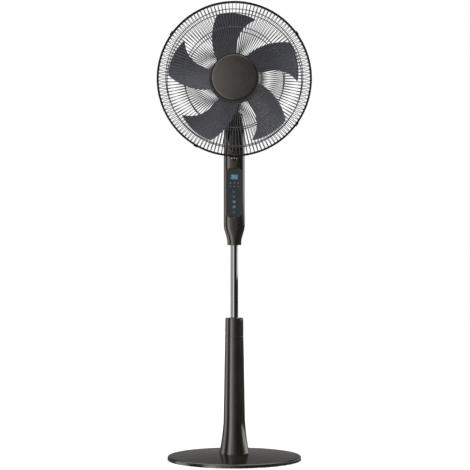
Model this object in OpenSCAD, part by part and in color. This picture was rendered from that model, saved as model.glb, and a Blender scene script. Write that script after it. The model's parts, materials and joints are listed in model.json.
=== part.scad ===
// Pedestal fan: weighted round base, telescopic column, slim control housing and a head that
// swings and tilts. Millimetres. The origin is on the floor under the middle of the base, +Z is
// up and the air leaves towards -Y.

/* [Base] */
// Diameter of the round base
base_d = 392; // [340:2:460]
// Height of the base's outer edge
base_edge_h = 11; // [10:0.5:14]
// Height of the base where the column stands on it
base_top_h = 19; // [18:0.5:26]
// Wall of the base cover
base_wall = 2.5; // [2:0.5:3]
// Distance from the base's edge to the steel ballast plate
ballast_inset = 48; // [43:1:70]
// Thickness of the ballast plate
ballast_t = 5.5; // [4:0.5:6]
// Height of a rubber foot
foot_h = 3; // [2.5:0.5:4]
// Diameter of a rubber foot
foot_d = 26; // [18:1:34]
// Number of rubber feet
foot_count = 5; // [4:1:8]

/* [Column] */
// Height of the top of the lower column, with its collar
column_top_z = 416; // [340:1:500]
// Diameter at the top of the lower column
column_top_d = 52.2; // [48:0.2:60]
// Diameter of the lower column above its flare
column_low_d = 63; // [58:0.5:72]
// Height at which the flare begins
flare_z = 125; // [100:1:150]
// How far the flare spreads at the base, on the radius
flare_out = 12.5; // [8:0.5:18]
// Wall of the plastic column cover
column_wall = 2.5; // [2:0.5:3]
// Height of the twist collar that locks the height
collar_h = 52; // [44:1:64]
// Diameter of the sliding chrome tube
inner_tube_d = 22; // [20:0.5:26]
// Wall of both tubes
tube_wall = 1.2; // [1:0.1:1.6]
// How far the sliding tube goes down
height_travel = 200; // [120:1:240]

/* [Control housing] */
// Height of the housing from end to end
housing_h = 385.5; // [370:0.5:470]
// Width of the housing
housing_w = 62; // [60:1:76]
// Depth of the housing, front to back
housing_depth = 50; // [48:1:60]
// How far the housing's round lower end stands out from the tube
low_end_w = 9.5; // [9:0.5:12]
// Width of the housing's upper end
shoulder_w = 47; // [46:1:54]
// Wall of the housing shells
housing_wall = 2.5; // [2:0.5:3]
// Length of the taper at each end
taper_h = 54; // [44:1:64]

/* [Control panel] */
// Height of the middle of the panel above the housing's lower end
panel_rise = 153; // [150:0.5:170]
// Distance from the dark lens to each side of the housing
lens_inset = 10.5; // [9.5:0.5:13]
// Width of the frame round the lens
bezel = 4; // [3:0.5:5]
// Diameter of a button
button_d = 11.4; // [9:0.2:12.4]
// Distance from one button to the next
button_pitch = 14.8; // [14.4:0.1:18]
// How far a button goes in
button_travel = 0.8; // [0.4:0.1:0.9]
// Width of the display window
display_w = 21.7; // [18:0.1:26]
// Height of the display window
display_h = 14.3; // [12:0.1:18]

/* [Neck] */
// Diameter of the neck
neck_d = 28; // [26:1:32]
// Diameter of the swing spindle
spindle_d = 16; // [14:0.5:18]
// Height of the tilt pin above the housing's upper end
tilt_rise = 21; // [20:0.5:24]
// Diameter of the tilt pin
tilt_pin_d = 6; // [5:0.5:8]
// Teeth on the neck's swing gear
gear_teeth = 40; // [36:1:42]
// Teeth on the swing motor's pinion
pinion_teeth = 12; // [11:1:13]

/* [Head] */
// Distance from the column's axis forward to the middle of the rim
rim_f = 105; // [100:1:112]
// Outer diameter of the grille
grille_d = 446; // [370:2:540]
// Depth of the front grille, from the rim
front_depth = 64; // [58:1:72]
// Wires in each grille
wire_count = 128; // [96:4:128]
// Thickness of a wire
wire_d = 2; // [1.8:0.1:2.4]
// Distance from the ends of the wires in to the inner stiffening ring
inner_ring_inset = 74.6; // [55:0.2:90]
// Distance from the ends of the wires in to the outer stiffening ring
outer_ring_inset = 22.6; // [15:0.2:32]
// Diameter of the centre cap
cap_d = 129; // [120:1:136]
// Diameter of the motor
motor_d = 112; // [108:1:116]

/* [Fan blade] */
// Number of blades
blade_count = 5; // [3:1:7]
// Gap between the blades' tips and the ends of the wires
blade_gap = 26.6; // [18:0.2:40]
// Diameter of the blade's hub
hub_d = 142; // [132:1:150]
// Thickness of a blade
blade_t = 2.4; // [2:0.2:3]
// Height of a blade along the axis at the hub
blade_root_h = 40; // [30:1:44]
// Height of a blade along the axis at the tip
blade_tip_h = 30; // [20:1:36]

/* [Hidden] */
$fn = 96;

// Clearances
part_gap = 0.3;    // between pieces that move past each other
run_fit = 0.05;    // on the radius, a shaft in its bearing
slide_fit = 0.08;  // on the radius, the sliding tube in its guides
screw_slack = 0.2; // on the radius, a screw in a plain hole

// Base
base_r = base_d / 2;
edge_round = 4;          // rounding of the base's outer edge
skirt_z = 1.5;           // the cover stops this far above the floor
ballast_hub_r = 32;
ballast_top = foot_h + ballast_t;
ballast_r = base_r - ballast_inset;
foot_pos_r = ballast_r - foot_d / 2 - 4;
cover_screw_r = ballast_r - 34;
flange_r = 34;
flange_t = 4;
flange_bolt_r = 25;
m5 = 2.5;
m4 = 2;
dish_flat_r = column_low_d / 2 + flare_out + 2;

// Column
inner_r = inner_tube_d / 2;
guide_wall = 1.8;
bore_r = inner_r + guide_wall;
outer_r = bore_r + tube_wall;
socket_floor = 2;
collar_z = column_top_z - collar_h;
outer_tube_top = collar_z + 30;
collet_low = outer_tube_top - 16;
collet_top = outer_tube_top + 12;
collet_r = outer_r + 1.5;
collet_tip_r = outer_r - 0.7;
guide_h = 32;
inner_tube_low = collet_low - part_gap - guide_h;

// Housing
closed_gap = 13.5;  // left between column and housing with the tube right down
housing_low_z = column_top_z + height_travel + closed_gap;
housing_top_z = housing_low_z + housing_h;
house_r = housing_depth / 2;
low_r = inner_r + low_end_w;
taper_low = housing_low_z + 6;
taper_high = housing_top_z - 8;
socket_top = housing_low_z + 58;
taper_steps = 7;
housing_heights = concat(
    [for (i = [0 : taper_steps]) taper_low + taper_h * i / taper_steps],
    [for (i = [0 : taper_steps]) taper_high - taper_h * (1 - i / taper_steps)]);
housing_screw_z = [taper_low + taper_h + 5, taper_high - taper_h - 26];
housing_screw_x = housing_w / 2 - 11;
cord_z = taper_low + taper_h + 22;
cord_inlet_r = 5.5;

// Panel, measured back from the housing's front
lens_face = -house_r - 0.3;
lens_t = 2;
lens_w = housing_w - 2 * lens_inset;
button_proud = 0.6;
stem_h = 6;
switch_h = 3.6;
board_face = lens_face + stem_h + button_travel + 0.4 + switch_h;
board_t = 1.6;
power_board_y = 9;

// Panel, from its top down: margin, display, icons, buttons, margin
margin_top = 14.85;
icon_gap = 11.05;
icon_pitch_z = 9.9;
icon_pitch_x = 11.1;
icon_d = 4.4;
margin_low = 12.9;
lens_h = margin_top + display_h + icon_gap + icon_pitch_z + 5 * button_pitch + margin_low;
panel_z = housing_low_z + panel_rise;
display_z = panel_z + lens_h / 2 - margin_top - display_h / 2;
icon_top_z = display_z - display_h / 2 - icon_gap;
button_top_z = icon_top_z - icon_pitch_z - button_pitch;

// Neck and swing drive
spindle_r = spindle_d / 2;
washer_t = 1.2;
neck_z = housing_top_z + washer_t + part_gap;
tilt_z = housing_top_z + tilt_rise;
ear_r = 11;
lug_w = neck_d / 2;
carrier_z = housing_top_z - 39;
carrier_t = 3;
bush_wall = 3;
gear_module = 0.8;
pressure_angle = 25;
gear_t = 6;
gear_z = carrier_z - 14;
spindle_low = gear_z - 2;
gear_distance = gear_module * (gear_teeth + pinion_teeth) / 2;
swing_motor_r = 14;
swing_motor_x = gear_distance - 8;  // the output shaft stands off the motor's middle
clip_t = 1.2;

// Head, along f, the distance forward of the column's axis
motor_r = motor_d / 2;
motor_low_z = tilt_z + 17;
fan_z = motor_low_z + motor_r;
motor_face = 42;
motor_joint = 28;        // where the rear cover meets the front bracket
motor_back = -64;
cover_wall = 2.2;
shaft_r = 4;
bearing_r = 11;
boss_r = 24;
stator_r = motor_r - 10;
rotor_r = 24;
core_f = [-20, 18];
rear_bracket_f = [-41, -12];
rear_hub_f = [-54, -38];
rear_bearing_f = [-52, -42];
bolt_circle_r = stator_r - 4;
hoop_w = 4;
hoop_h = 3.2;
hoop_low = 1;
band_t = 1.8;
band_w = 14;
hoop_r = grille_d / 2 - band_t - 0.4;
wire_end_r = hoop_r - 3.2;
inner_ring_r = wire_end_r - inner_ring_inset;
outer_ring_r = wire_end_r - outer_ring_inset;
front_ring_r = cap_d / 2 - 5;
rear_plate_r = 62;
plate_f = motor_face + 1;
rear_depth = rim_f - plate_f - 2;
hub_f = [74, 122];
pin_f = hub_f[0] + 16;
blade_r = wire_end_r - blade_gap;
root_r = hub_d / 2 - 1.6;
clip_angles = [36, 144, 240, 324];

// A plain ring between two heights
module ring(r_out, r_in, z0, z1) {
    translate([0, 0, z0]) difference() {
        cylinder(h = z1 - z0, r = r_out);
        translate([0, 0, -1]) cylinder(h = z1 - z0 + 2, r = r_in);
    }
}

// A plain rod between two heights
module rod(r, z0, z1) translate([0, 0, z0]) cylinder(h = z1 - z0, r = r);

// Copies round the vertical axis
module around(count, r, start = 0)
    for (i = [0 : count - 1]) rotate(start + 360 * i / count) translate([r, 0, 0]) children();

// Puts the fan's own axis along -Y: z is the distance forward, y is up
module at_head() translate([0, 0, fan_z]) rotate([90, 0, 0]) children();

// ---------------------------------------------------------------- base

// Height of the dished top of the base
function dish_z(r) = base_top_h - (base_top_h - base_edge_h)
    * pow(max(0, (r - dish_flat_r) / (base_r - edge_round - dish_flat_r)), 1.25);

module base_cover() color([0.13, 0.11, 0.10]) difference() {
    hole_r = outer_r + 4;
    steps = 9;
    rim_r = base_r - edge_round;
    radii = concat([hole_r], [for (i = [0 : steps]) dish_flat_r + (rim_r - dish_flat_r) * i / steps]);
    top = [for (r = radii) [r, dish_z(r)]];
    edge = [for (a = [75 : -15 : 0]) [rim_r + edge_round * cos(a), base_edge_h - edge_round * (1 - sin(a))]];
    under = [for (i = [len(radii) - 1 : -1 : 0]) [radii[i], dish_z(radii[i]) - base_wall]];
    union() {
        rotate_extrude($fn = 180) polygon(concat(top, edge, [[base_r, skirt_z],
            [base_r - base_wall, skirt_z], [base_r - base_wall, base_edge_h - edge_round]], under));
        around(4, cover_screw_r, 45)
            rod(5, ballast_top, dish_z(cover_screw_r) - base_wall / 2);
    }
    around(4, cover_screw_r, 45) rod(m4, 0, ballast_top + 3);
    around(4, flange_bolt_r) rod(m5 + screw_slack, 0, base_top_h + 1);
}

module base_ballast() color([0.32, 0.32, 0.33]) difference() {
    union() {
        rod(ballast_r, foot_h, ballast_top);
        rod(ballast_hub_r, foot_h, base_top_h - base_wall);
    }
    around(4, flange_bolt_r) rod(m5, 0, base_top_h);
    around(4, cover_screw_r, 45) rod(m4 + screw_slack, 0, ballast_top + 1);
}

module base_feet() color([0.08, 0.08, 0.08])
    around(foot_count, foot_pos_r, 270) rod(foot_d / 2, 0, foot_h);

module cover_screws() color("silver") around(4, cover_screw_r, 45) {
    rod(m4, foot_h, ballast_top + 2.5);
    rod(2 * m4, foot_h - 1.5, foot_h);
}

// ---------------------------------------------------------------- column

// Radius of the lower column
function column_r(z) = column_top_d / 2
    + (column_low_d - column_top_d) / 2 * min(1, (column_top_z - z) / (column_top_z - flare_z))
    + flare_out * pow(max(0, (flare_z - z) / (flare_z - base_top_h)), 1.6);

module tube_flange() color([0.45, 0.45, 0.46]) difference() {
    union() {
        rod(flange_r, base_top_h, base_top_h + flange_t);
        rod(outer_r + 3.5, base_top_h, base_top_h + 42);
    }
    rod(outer_r, base_top_h + socket_floor, base_top_h + 50);
    rod(8, base_top_h - 1, base_top_h + 10);
    around(4, flange_bolt_r) rod(m5 + screw_slack, base_top_h - 1, base_top_h + flange_t + 1);
}

module flange_screws() color("silver") around(4, flange_bolt_r) {
    rod(m5, foot_h + 2, base_top_h + flange_t);
    rod(1.8 * m5, base_top_h + flange_t, base_top_h + flange_t + 3);
}

module column_cover() color([0.13, 0.11, 0.10]) {
    top = collar_z - part_gap;
    flare_steps = 12;
    heights = concat([for (i = [0 : flare_steps]) base_top_h + (flare_z - base_top_h) * i / flare_steps],
        [(flare_z + top) / 2, top]);
    last = len(heights) - 1;
    rotate_extrude($fn = 120) polygon(concat([for (z = heights) [column_r(z), z]],
        [for (i = [last : -1 : 0]) [column_r(heights[i]) - column_wall, heights[i]]]));
    // Web that centres the cover on the fixed tube
    ring(column_r(top) - column_wall / 2, outer_r, top - 14, top - 10);
}

module outer_tube() color([0.5, 0.5, 0.52])
    ring(outer_r, bore_r, base_top_h + socket_floor, outer_tube_top);

module clamp_collet() color([0.85, 0.85, 0.82]) difference() {
    rotate_extrude() polygon([[inner_r + slide_fit, collet_low], [bore_r, collet_low],
        [bore_r, outer_tube_top], [collet_r, outer_tube_top], [collet_r, outer_tube_top + 2],
        [collet_tip_r, collet_top], [inner_r + slide_fit, collet_top]]);
    for (a = [0 : 90 : 270]) rotate(a) translate([inner_r - 2, -0.6, collet_low + 6])
        cube([8, 1.2, collet_top]);
}

module height_collar() color([0.13, 0.11, 0.10]) {
    lip_z = collet_top + 2;
    rotate_extrude($fn = 120) polygon([
        [column_r(collar_z), collar_z], [column_r(column_top_z), column_top_z - 2],
        [column_top_d / 2 - 0.6, column_top_z - 0.6], [column_top_d / 2 - 2, column_top_z],
        [inner_r + 0.4, column_top_z], [inner_r + 0.4, lip_z],
        [collet_tip_r + part_gap, lip_z], [collet_tip_r + part_gap, collet_top],
        [collet_r + part_gap, outer_tube_top + 2], [collet_r + part_gap, collar_z],
        [collet_r + 3, collar_z], [collet_r + 3, lip_z - 4],
        [column_top_d / 2 - column_wall, lip_z - 4], [column_r(collar_z) - column_wall, collar_z]]);
}

module inner_tube() color([0.8, 0.8, 0.82]) difference() {
    ring(inner_r, inner_r - tube_wall, inner_tube_low, socket_top - 6);
    socket_bolt_bore(m4 + screw_slack);
}

module tube_guide() color([0.85, 0.85, 0.82])
    ring(bore_r - slide_fit, inner_r, inner_tube_low, collet_low - part_gap);

// ---------------------------------------------------------------- control housing

function ease(t) = (1 - cos(180 * min(1, max(0, t)))) / 2;
// 0 at the housing's low end, 1 along the middle
function low_share(z) = ease((z - taper_low) / taper_h);
// 1 along the middle, 0 at the shoulder
function high_share(z) = ease((taper_high - z) / taper_h);
function half_w(z) = low_r + (housing_w / 2 - low_r) * low_share(z)
    - (housing_w - shoulder_w) / 2 * (1 - high_share(z));
function half_d(z) = low_r + (house_r - low_r) * low_share(z)
    - (house_r - shoulder_w / 2 + 1.5) * (1 - high_share(z));
// From a circle, 2, to a rounded rectangle, 3.2
function squareness(z) = 2 + 1.2 * low_share(z) * (0.35 + 0.65 * high_share(z));

function on_section(w, d, n, t) =
    [w * sign(cos(t)) * pow(abs(cos(t)), 2 / n), d * sign(sin(t)) * pow(abs(sin(t)), 2 / n)];

// Solid between rounded sections, each [height, half width, half depth, squareness]
module loft(sections, sides = 48) {
    n = len(sections);
    points = [for (s = sections, i = [0 : sides - 1])
        let(p = on_section(s[1], s[2], s[3], 360 * (i + 0.5) / sides)) [p[0], p[1], s[0]]];
    walls = [for (k = [0 : n - 2], i = [0 : sides - 1]) let(j = (i + 1) % sides)
        [k * sides + i, (k + 1) * sides + i, (k + 1) * sides + j, k * sides + j]];
    bottom = [for (i = [0 : sides - 1]) i];
    top = [for (i = [sides - 1 : -1 : 0]) (n - 1) * sides + i];
    polyhedron(points, concat(walls, [bottom, top]));
}

module housing_outside() loft(concat(
    [[housing_low_z, low_r - 1, low_r - 1, 2], [housing_low_z + 1, low_r, low_r, 2]],
    [for (z = housing_heights) [z, half_w(z), half_d(z), squareness(z)]],
    [for (a = [0, 40, 65, 90]) let(z = housing_top_z - 3 + 3 * sin(a), in = 3 * (1 - cos(a)))
        [z, half_w(taper_high) - in, half_d(taper_high) - in, squareness(taper_high)]]));

module housing_inside() loft(concat(
    [[housing_low_z + housing_wall, low_r - housing_wall, low_r - housing_wall, 2]],
    [for (z = housing_heights)
        [z, half_w(z) - housing_wall, half_d(z) - housing_wall, squareness(z)]],
    [[housing_top_z - housing_wall, half_w(taper_high) - housing_wall,
        half_d(taper_high) - housing_wall, squareness(taper_high)]]));

module at_housing_screws() for (z = housing_screw_z, x = [-1, 1] * housing_screw_x)
    translate([x, 0, z]) rotate([90, 0, 0]) children();

module housing_bores() {
    rod(inner_r + part_gap, housing_low_z - 1, housing_low_z + housing_wall + 1);
    rod(neck_d / 2 + 0.1, housing_top_z - housing_wall - 1, housing_top_z + 1);
}

// The face outline of the panel, grown by g; x across and y up
module panel_outline(g) {
    w = lens_w / 2 + g;
    h = lens_h / 2 + g;
    c = 7 + 0.4 * g;
    polygon([[-w, -h + c], [-w + c, -h], [w - c, -h], [w, -h + c],
        [w, h - c], [w - c, h], [-w + c, h], [-w, h - c]]);
}

// Extrudes a face outline from one y to a larger y, with x across and the outline's y up
module face_plate(y0, y1, z) translate([0, y1, z]) rotate([90, 0, 0])
    linear_extrude(y1 - y0) children();

module housing_front() color([0.10, 0.09, 0.08]) difference() {
    union() {
        intersection() {
            difference() {
                housing_outside();
                housing_inside();
            }
            translate([-housing_w, -housing_depth, 0]) cube([2 * housing_w, housing_depth, 2000]);
        }
        at_housing_screws() rod(3.8, 0, house_r - housing_wall - 2);
    }
    housing_bores();
    at_housing_screws() rod(1.5, -1, 12);
    face_plate(-housing_depth, -10, panel_z) panel_outline(bezel);
}

module housing_rear() color([0.10, 0.09, 0.08]) difference() {
    union() {
        intersection() {
            difference() {
                housing_outside();
                housing_inside();
            }
            translate([-housing_w, 0, 0]) cube([2 * housing_w, housing_depth, 2000]);
        }
        at_housing_screws() rod(3.8, -house_r + housing_wall + 2, 0);
        // Boss round the cord inlet
        translate([0, 0, cord_z]) rotate([-90, 0, 0]) rod(8, house_r - 8, house_r);
    }
    housing_bores();
    at_housing_screws() {
        rod(1.5 + screw_slack, -house_r - 1, 1);
        rod(3.2, -house_r - 1, -house_r + 8);
    }
    translate([0, 0, cord_z]) rotate([-90, 0, 0]) rod(cord_inlet_r, house_r - 12, house_r + 1);
}

module housing_screws() color("silver") at_housing_screws() {
    rod(1.5, -house_r + 8, 11);
    rod(2.9, -house_r + 5.5, -house_r + 8);
}

// Rubber collar in the rear shell where a mains lead enters
module cord_inlet() color([0.07, 0.07, 0.07]) translate([0, 0, cord_z]) rotate([-90, 0, 0]) {
    ring(cord_inlet_r, 3.2, house_r - 10, house_r);
    ring(7.5, 3.2, house_r, house_r + 2.5);
    ring(7.5, 3.2, house_r - 10.5, house_r - 8);
}

module socket_bolt_bore(r) translate([0, 0, socket_top - 18]) rotate([0, 90, 0]) rod(r, -30, 30);

module tube_socket() color([0.3, 0.3, 0.31]) difference() {
    union() {
        rod(inner_r + 5, housing_low_z + housing_wall, socket_top);
        rod(low_r - housing_wall - 0.2, housing_low_z + housing_wall, housing_low_z + housing_wall + 4);
    }
    rod(inner_r, 0, socket_top - 6);
    rod(6, 0, socket_top + 1);
    socket_bolt_bore(m4 + screw_slack);
}

module socket_bolt() color("silver") translate([0, 0, socket_top - 18]) rotate([0, 90, 0]) {
    rod(m4, -inner_r - 5, inner_r + 8);
    rod(1.8 * m4, -inner_r - 8, -inner_r - 5);
    translate([0, 0, inner_r + 5]) difference() {
        cylinder(h = 3, r = 4, $fn = 6);
        translate([0, 0, -1]) cylinder(h = 5, r = m4 - 0.1);
    }
}

// ---------------------------------------------------------------- control panel

// Button heights from the top: power, speed, swing, mode, timer
function button_z(i) = button_top_z - i * button_pitch;

module at_icons() for (x = [-1 : 1], k = [0, 1])
    translate([x * icon_pitch_x, 0, icon_top_z - k * icon_pitch_z]) rotate([90, 0, 0]) children();

module panel_frame() color([0.12, 0.10, 0.09]) difference() {
    union() {
        face_plate(lens_face - 0.3, lens_face + 5.5, panel_z) panel_outline(bezel - 0.15);
        // Posts that carry the control board
        for (x = [-1, 1] * (lens_w / 2 - 5), z = [-1, 1] * (lens_h / 2 - 8))
            translate([x, board_face, panel_z + z]) rotate([90, 0, 0])
                rod(2, 0, board_face - lens_face - 5);
    }
    face_plate(-housing_depth, lens_face + lens_t, panel_z) panel_outline(0);
    difference() {
        face_plate(lens_face, lens_face + 5.6, panel_z) panel_outline(-2);
        for (x = [-1, 1] * (lens_w / 2 - 5), z = [-1, 1] * (lens_h / 2 - 8))
            translate([x, 0, panel_z + z]) rotate([90, 0, 0]) rod(3.5, -60, 60);
    }
}

module control_panel() color([0.06, 0.13, 0.15]) difference() {
    face_plate(lens_face, lens_face + lens_t, panel_z) panel_outline(-0.05);
    for (i = [0 : 4]) translate([0, 0, button_z(i)]) rotate([90, 0, 0])
        rod(button_d / 2 + part_gap, 0, housing_depth);
    face_plate(-housing_depth, 0, display_z) square([display_w, display_h], center = true);
    at_icons() rod(icon_d / 2, 0, housing_depth);
}

module display_module() color([0.25, 0.75, 0.85]) {
    face_plate(lens_face + 0.2, board_face - 0.2, display_z)
        square([display_w - 0.1, display_h - 0.1], center = true);
}

module indicator_lights() color([0.55, 0.8, 0.85])
    at_icons() rod(icon_d / 2 - 0.05, -board_face + 0.2, -lens_face - 0.1);

module control_board() color([0.05, 0.3, 0.15]) {
    face_plate(board_face, board_face + board_t, panel_z) square([lens_w - 5, lens_h - 6], center = true);
    // Tact switches behind the buttons
    for (i = [0 : 4]) face_plate(board_face - switch_h, board_face + 0.2, button_z(i)) square(6, center = true);
}

module button(i) color([0.10, 0.16, 0.18]) translate([0, lens_face, button_z(i)]) rotate([90, 0, 0]) {
    cap_r = button_d / 2;
    rotate_extrude() polygon([[0, -stem_h], [2, -stem_h], [2, -2.9], [cap_r + 1.2, -2.9],
        [cap_r + 1.2, -lens_t - part_gap], [cap_r, -lens_t - part_gap],
        [cap_r, button_proud - 0.4], [cap_r - 0.5, button_proud], [0, button_proud]]);
}

module power_button() button(0);
module speed_button() button(1);
module swing_button() button(2);
module mode_button() button(3);
module timer_button() button(4);

module power_board() color([0.05, 0.3, 0.15]) {
    face_plate(power_board_y, power_board_y + board_t, panel_z) square([40, 100], center = true);
    translate([-15, power_board_y - 14, panel_z - 44]) cube([22, 14.2, 26]);
    for (z = [-8, 12, 30]) translate([8, power_board_y + 0.1, panel_z + z]) rotate([90, 0, 0]) rod(5, 0, 12);
}

module motor_capacitor() color([0.9, 0.9, 0.88])
    translate([-19, -8, panel_z + lens_h / 2 + 8]) cube([38, 20, 30]);

// ---------------------------------------------------------------- swing drive and neck

function involute(base, t) = base * [cos(t) + t * PI / 180 * sin(t), sin(t) - t * PI / 180 * cos(t)];
// Roll angle at which the involute reaches radius r
function roll(base, r) = 180 / PI * sqrt(max(0, pow(r / base, 2) - 1));

// Stub-tooth involute gear outline with a tooth on the +x axis
module gear_outline(teeth) {
    pitch_r = gear_module * teeth / 2;
    base = pitch_r * cos(pressure_angle);
    tip_r = pitch_r + 0.8 * gear_module;
    root_r = pitch_r - 1.1 * gear_module;
    backlash = 0.06;  // taken off each flank
    start_r = max(base, root_r);
    at_pitch = involute(base, roll(base, pitch_r));
    half = 90 / teeth - backlash / pitch_r * 180 / PI + atan2(at_pitch[1], at_pitch[0]);
    flank = [for (k = [0 : 3]) let(p = involute(base, roll(base, start_r + (tip_r - start_r) * k / 3)))
        [norm(p), atan2(p[1], p[0])]];
    tooth = concat([[root_r, -half]], [for (f = flank) [f[0], f[1] - half]],
        [for (k = [3 : -1 : 0]) [flank[k][0], half - flank[k][1]]], [[root_r, half]]);
    polygon([for (i = [0 : teeth - 1], q = tooth)
        let(a = q[1] + 360 * i / teeth) q[0] * [cos(a), sin(a)]]);
}

module swing_gear() color([0.85, 0.85, 0.8]) translate([0, 0, gear_z]) difference() {
    linear_extrude(gear_t) gear_outline(gear_teeth);
    rod(spindle_r, -1, gear_t + 1);
}

module swing_pinion() color([0.85, 0.85, 0.8]) translate([gear_distance, 0, gear_z - 1])
    rotate(180 + 180 / pinion_teeth * (1 - pinion_teeth % 2)) {
        linear_extrude(gear_t + 2) gear_outline(pinion_teeth);
        rod(1.5, -8, 1);
    }

module swing_motor() color([0.7, 0.7, 0.72]) {
    top = gear_z - 5;
    difference() {
        union() {
            translate([swing_motor_x, 0, 0]) rod(swing_motor_r, top - 19, top);
            translate([gear_distance, 0, 0]) rod(4.5, top - 1, top + 2);
        }
        translate([gear_distance, 0, 0]) rod(1.5 + run_fit, top - 12, top + 3);
    }
}

module swivel_carrier() color([0.3, 0.3, 0.31]) difference() {
    union() {
        rod(neck_d / 2, carrier_z, housing_top_z - 0.2);
        loft([for (z = [carrier_z, carrier_z + carrier_t])
            [z, half_w(carrier_z + 4) - housing_wall - 1, half_d(carrier_z + 4) - housing_wall - 1, 2.6]]);
    }
    rod(spindle_r + bush_wall, carrier_z - 1, housing_top_z + 1);
}

module swivel_bush() color([0.72, 0.55, 0.25])
    ring(spindle_r + bush_wall, spindle_r + run_fit, carrier_z, housing_top_z - 0.2);

module thrust_washer() color([0.85, 0.85, 0.82])
    ring(neck_d / 2 + 4, spindle_r + part_gap, housing_top_z, housing_top_z + washer_t);

module neck() color([0.10, 0.09, 0.08]) difference() {
    union() {
        rod(neck_d / 2 + 4.5, neck_z, neck_z + 2.5);
        rod(neck_d / 2, neck_z, tilt_z - ear_r / 2);
        rod(spindle_r, spindle_low, neck_z + 1);
        intersection() {
            union() {
                translate([-neck_d / 2, 0, tilt_z]) rotate([0, 90, 0]) rod(ear_r, 0, neck_d);
                translate([-neck_d / 2, -ear_r, neck_z + 1]) cube([neck_d, 2 * ear_r, tilt_z - neck_z - 1]);
            }
            rod(neck_d / 2 + 2.6, neck_z, tilt_z + ear_r + 1);
        }
    }
    // Slot for the tilt lug
    translate([-lug_w / 2 - part_gap, -neck_d, tilt_z - ear_r - 0.5]) cube([lug_w + 2 * part_gap, 2 * neck_d, 60]);
    translate([0, 0, tilt_z]) rotate([0, 90, 0]) rod(tilt_pin_d / 2, -neck_d, neck_d);
    // Way for the motor's leads
    rod(4, spindle_low - 1, tilt_z);
    // Groove for the spindle clip
    ring(spindle_r + 1, spindle_r - 0.8, carrier_z - part_gap - clip_t, carrier_z - part_gap);
}

module spindle_clip() color([0.6, 0.6, 0.62]) difference() {
    ring(spindle_r + 3, spindle_r - 0.8, carrier_z - part_gap - clip_t, carrier_z - part_gap);
    translate([0, -3, carrier_z - 10]) cube([30, 6, 12]);
}

module tilt_pin() color("silver") translate([0, 0, tilt_z]) rotate([0, 90, 0]) {
    rod(tilt_pin_d / 2, -neck_d / 2 - 1, neck_d / 2 + 4);
    rod(tilt_pin_d * 0.85, -neck_d / 2 - 4, -neck_d / 2);
    translate([0, 0, neck_d / 2]) difference() {
        cylinder(h = 3.5, r = tilt_pin_d * 0.95, $fn = 6);
        translate([0, 0, -1]) cylinder(h = 6, r = tilt_pin_d / 2);
    }
}

// ---------------------------------------------------------------- head

module tilt_bracket() color([0.10, 0.09, 0.08]) difference() {
    union() {
        translate([-lug_w / 2, 0, tilt_z]) rotate([0, 90, 0]) rod(ear_r - 0.5, 0, lug_w);
        translate([-lug_w / 2, -ear_r + 0.5, tilt_z]) cube([lug_w, 2 * ear_r - 1, motor_low_z - tilt_z - 4]);
        translate([-lug_w / 2, -motor_face, motor_low_z - 6.5]) cube([lug_w, motor_face + ear_r - 0.5, 6]);
        // Saddle under the motor's front bracket
        translate([-lug_w / 2, -motor_face, motor_low_z - 3])
            cube([lug_w, motor_face - motor_joint, 4]);
    }
    translate([0, 0, tilt_z]) rotate([0, 90, 0]) rod(tilt_pin_d / 2 + run_fit, -lug_w, lug_w);
    at_head() rod(motor_r, 0, motor_face + 1);
    at_bracket_screws() rod(1.5 + screw_slack, -20, 20);
}

module at_bracket_screws() for (f = [motor_joint + 4, motor_face - 4])
    translate([0, -f, motor_low_z]) children();

module bracket_screws() color("silver") at_bracket_screws() {
    rod(1.5, -6.5, 4);
    rod(2.8, -8.5, -6.5);
}

module motor_front() color([0.55, 0.55, 0.57]) difference() {
    at_head() difference() {
        union() {
            ring(motor_r, motor_r - 6, motor_joint, motor_face);
            rod(motor_r - 1, motor_face - 4, motor_face);
            rod(bearing_r + 3, motor_face - 18, motor_face);
            rod(boss_r, motor_face - 1, motor_face + 14);
        }
        rod(bearing_r, motor_face - 19, motor_face - 4);
        rod(shaft_r + 2, 0, motor_face + 20);
        around(4, bolt_circle_r, 45) rod(m4, motor_face - 5, motor_face - 1);
    }
    at_bracket_screws() rod(1.5, -20, 4.5);
}

module motor_rear() color([0.55, 0.55, 0.57]) at_head() difference() {
    union() {
        rod(bearing_r + 3, rear_hub_f[0], rear_hub_f[1]);
        rod(stator_r + 3, rear_bracket_f[0], rear_hub_f[1]);
        ring(stator_r + 3, stator_r, rear_bracket_f[0], rear_bracket_f[1]);
    }
    rod(bearing_r, rear_bearing_f[0], rear_hub_f[1] + 1);
    rod(shaft_r + 1, rear_hub_f[0] - 1, rear_hub_f[1]);
    around(4, bolt_circle_r, 45) rod(m4 + screw_slack, rear_bracket_f[0] - 1, rear_hub_f[1] + 1);
}

module motor_cover() color([0.10, 0.09, 0.08]) at_head() {
    back_round = 16;
    slot_r = motor_r - back_round - 4;
    outside = concat([[motor_r, motor_joint], [motor_r, motor_back + back_round]],
        [for (a = [-15 : -15 : -90])
            [motor_r - back_round * (1 - cos(a)), motor_back + back_round * (1 + sin(a))]], [[0, motor_back]]);
    inside = concat([[0, motor_back + cover_wall]],
        [for (a = [-90 : 15 : 0]) [motor_r - back_round + (back_round - cover_wall) * cos(a),
            motor_back + back_round + (back_round - cover_wall) * sin(a)]],
        [[motor_r - cover_wall, motor_joint]]);
    difference() {
        rotate_extrude($fn = 120) polygon(concat(outside, inside));
        // Air slots in the back
        for (i = [0 : 17]) rotate(20 * i) translate([14, -1.5, motor_back - 1]) cube([slot_r - 14, 3, 6]);
    }
}

module stator_core() color([0.5, 0.5, 0.52]) at_head() difference() {
    ring(stator_r, rotor_r + part_gap, core_f[0], core_f[1]);
    around(4, bolt_circle_r, 45) rod(m4 + screw_slack, core_f[0] - 1, core_f[1] + 1);
}

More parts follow.
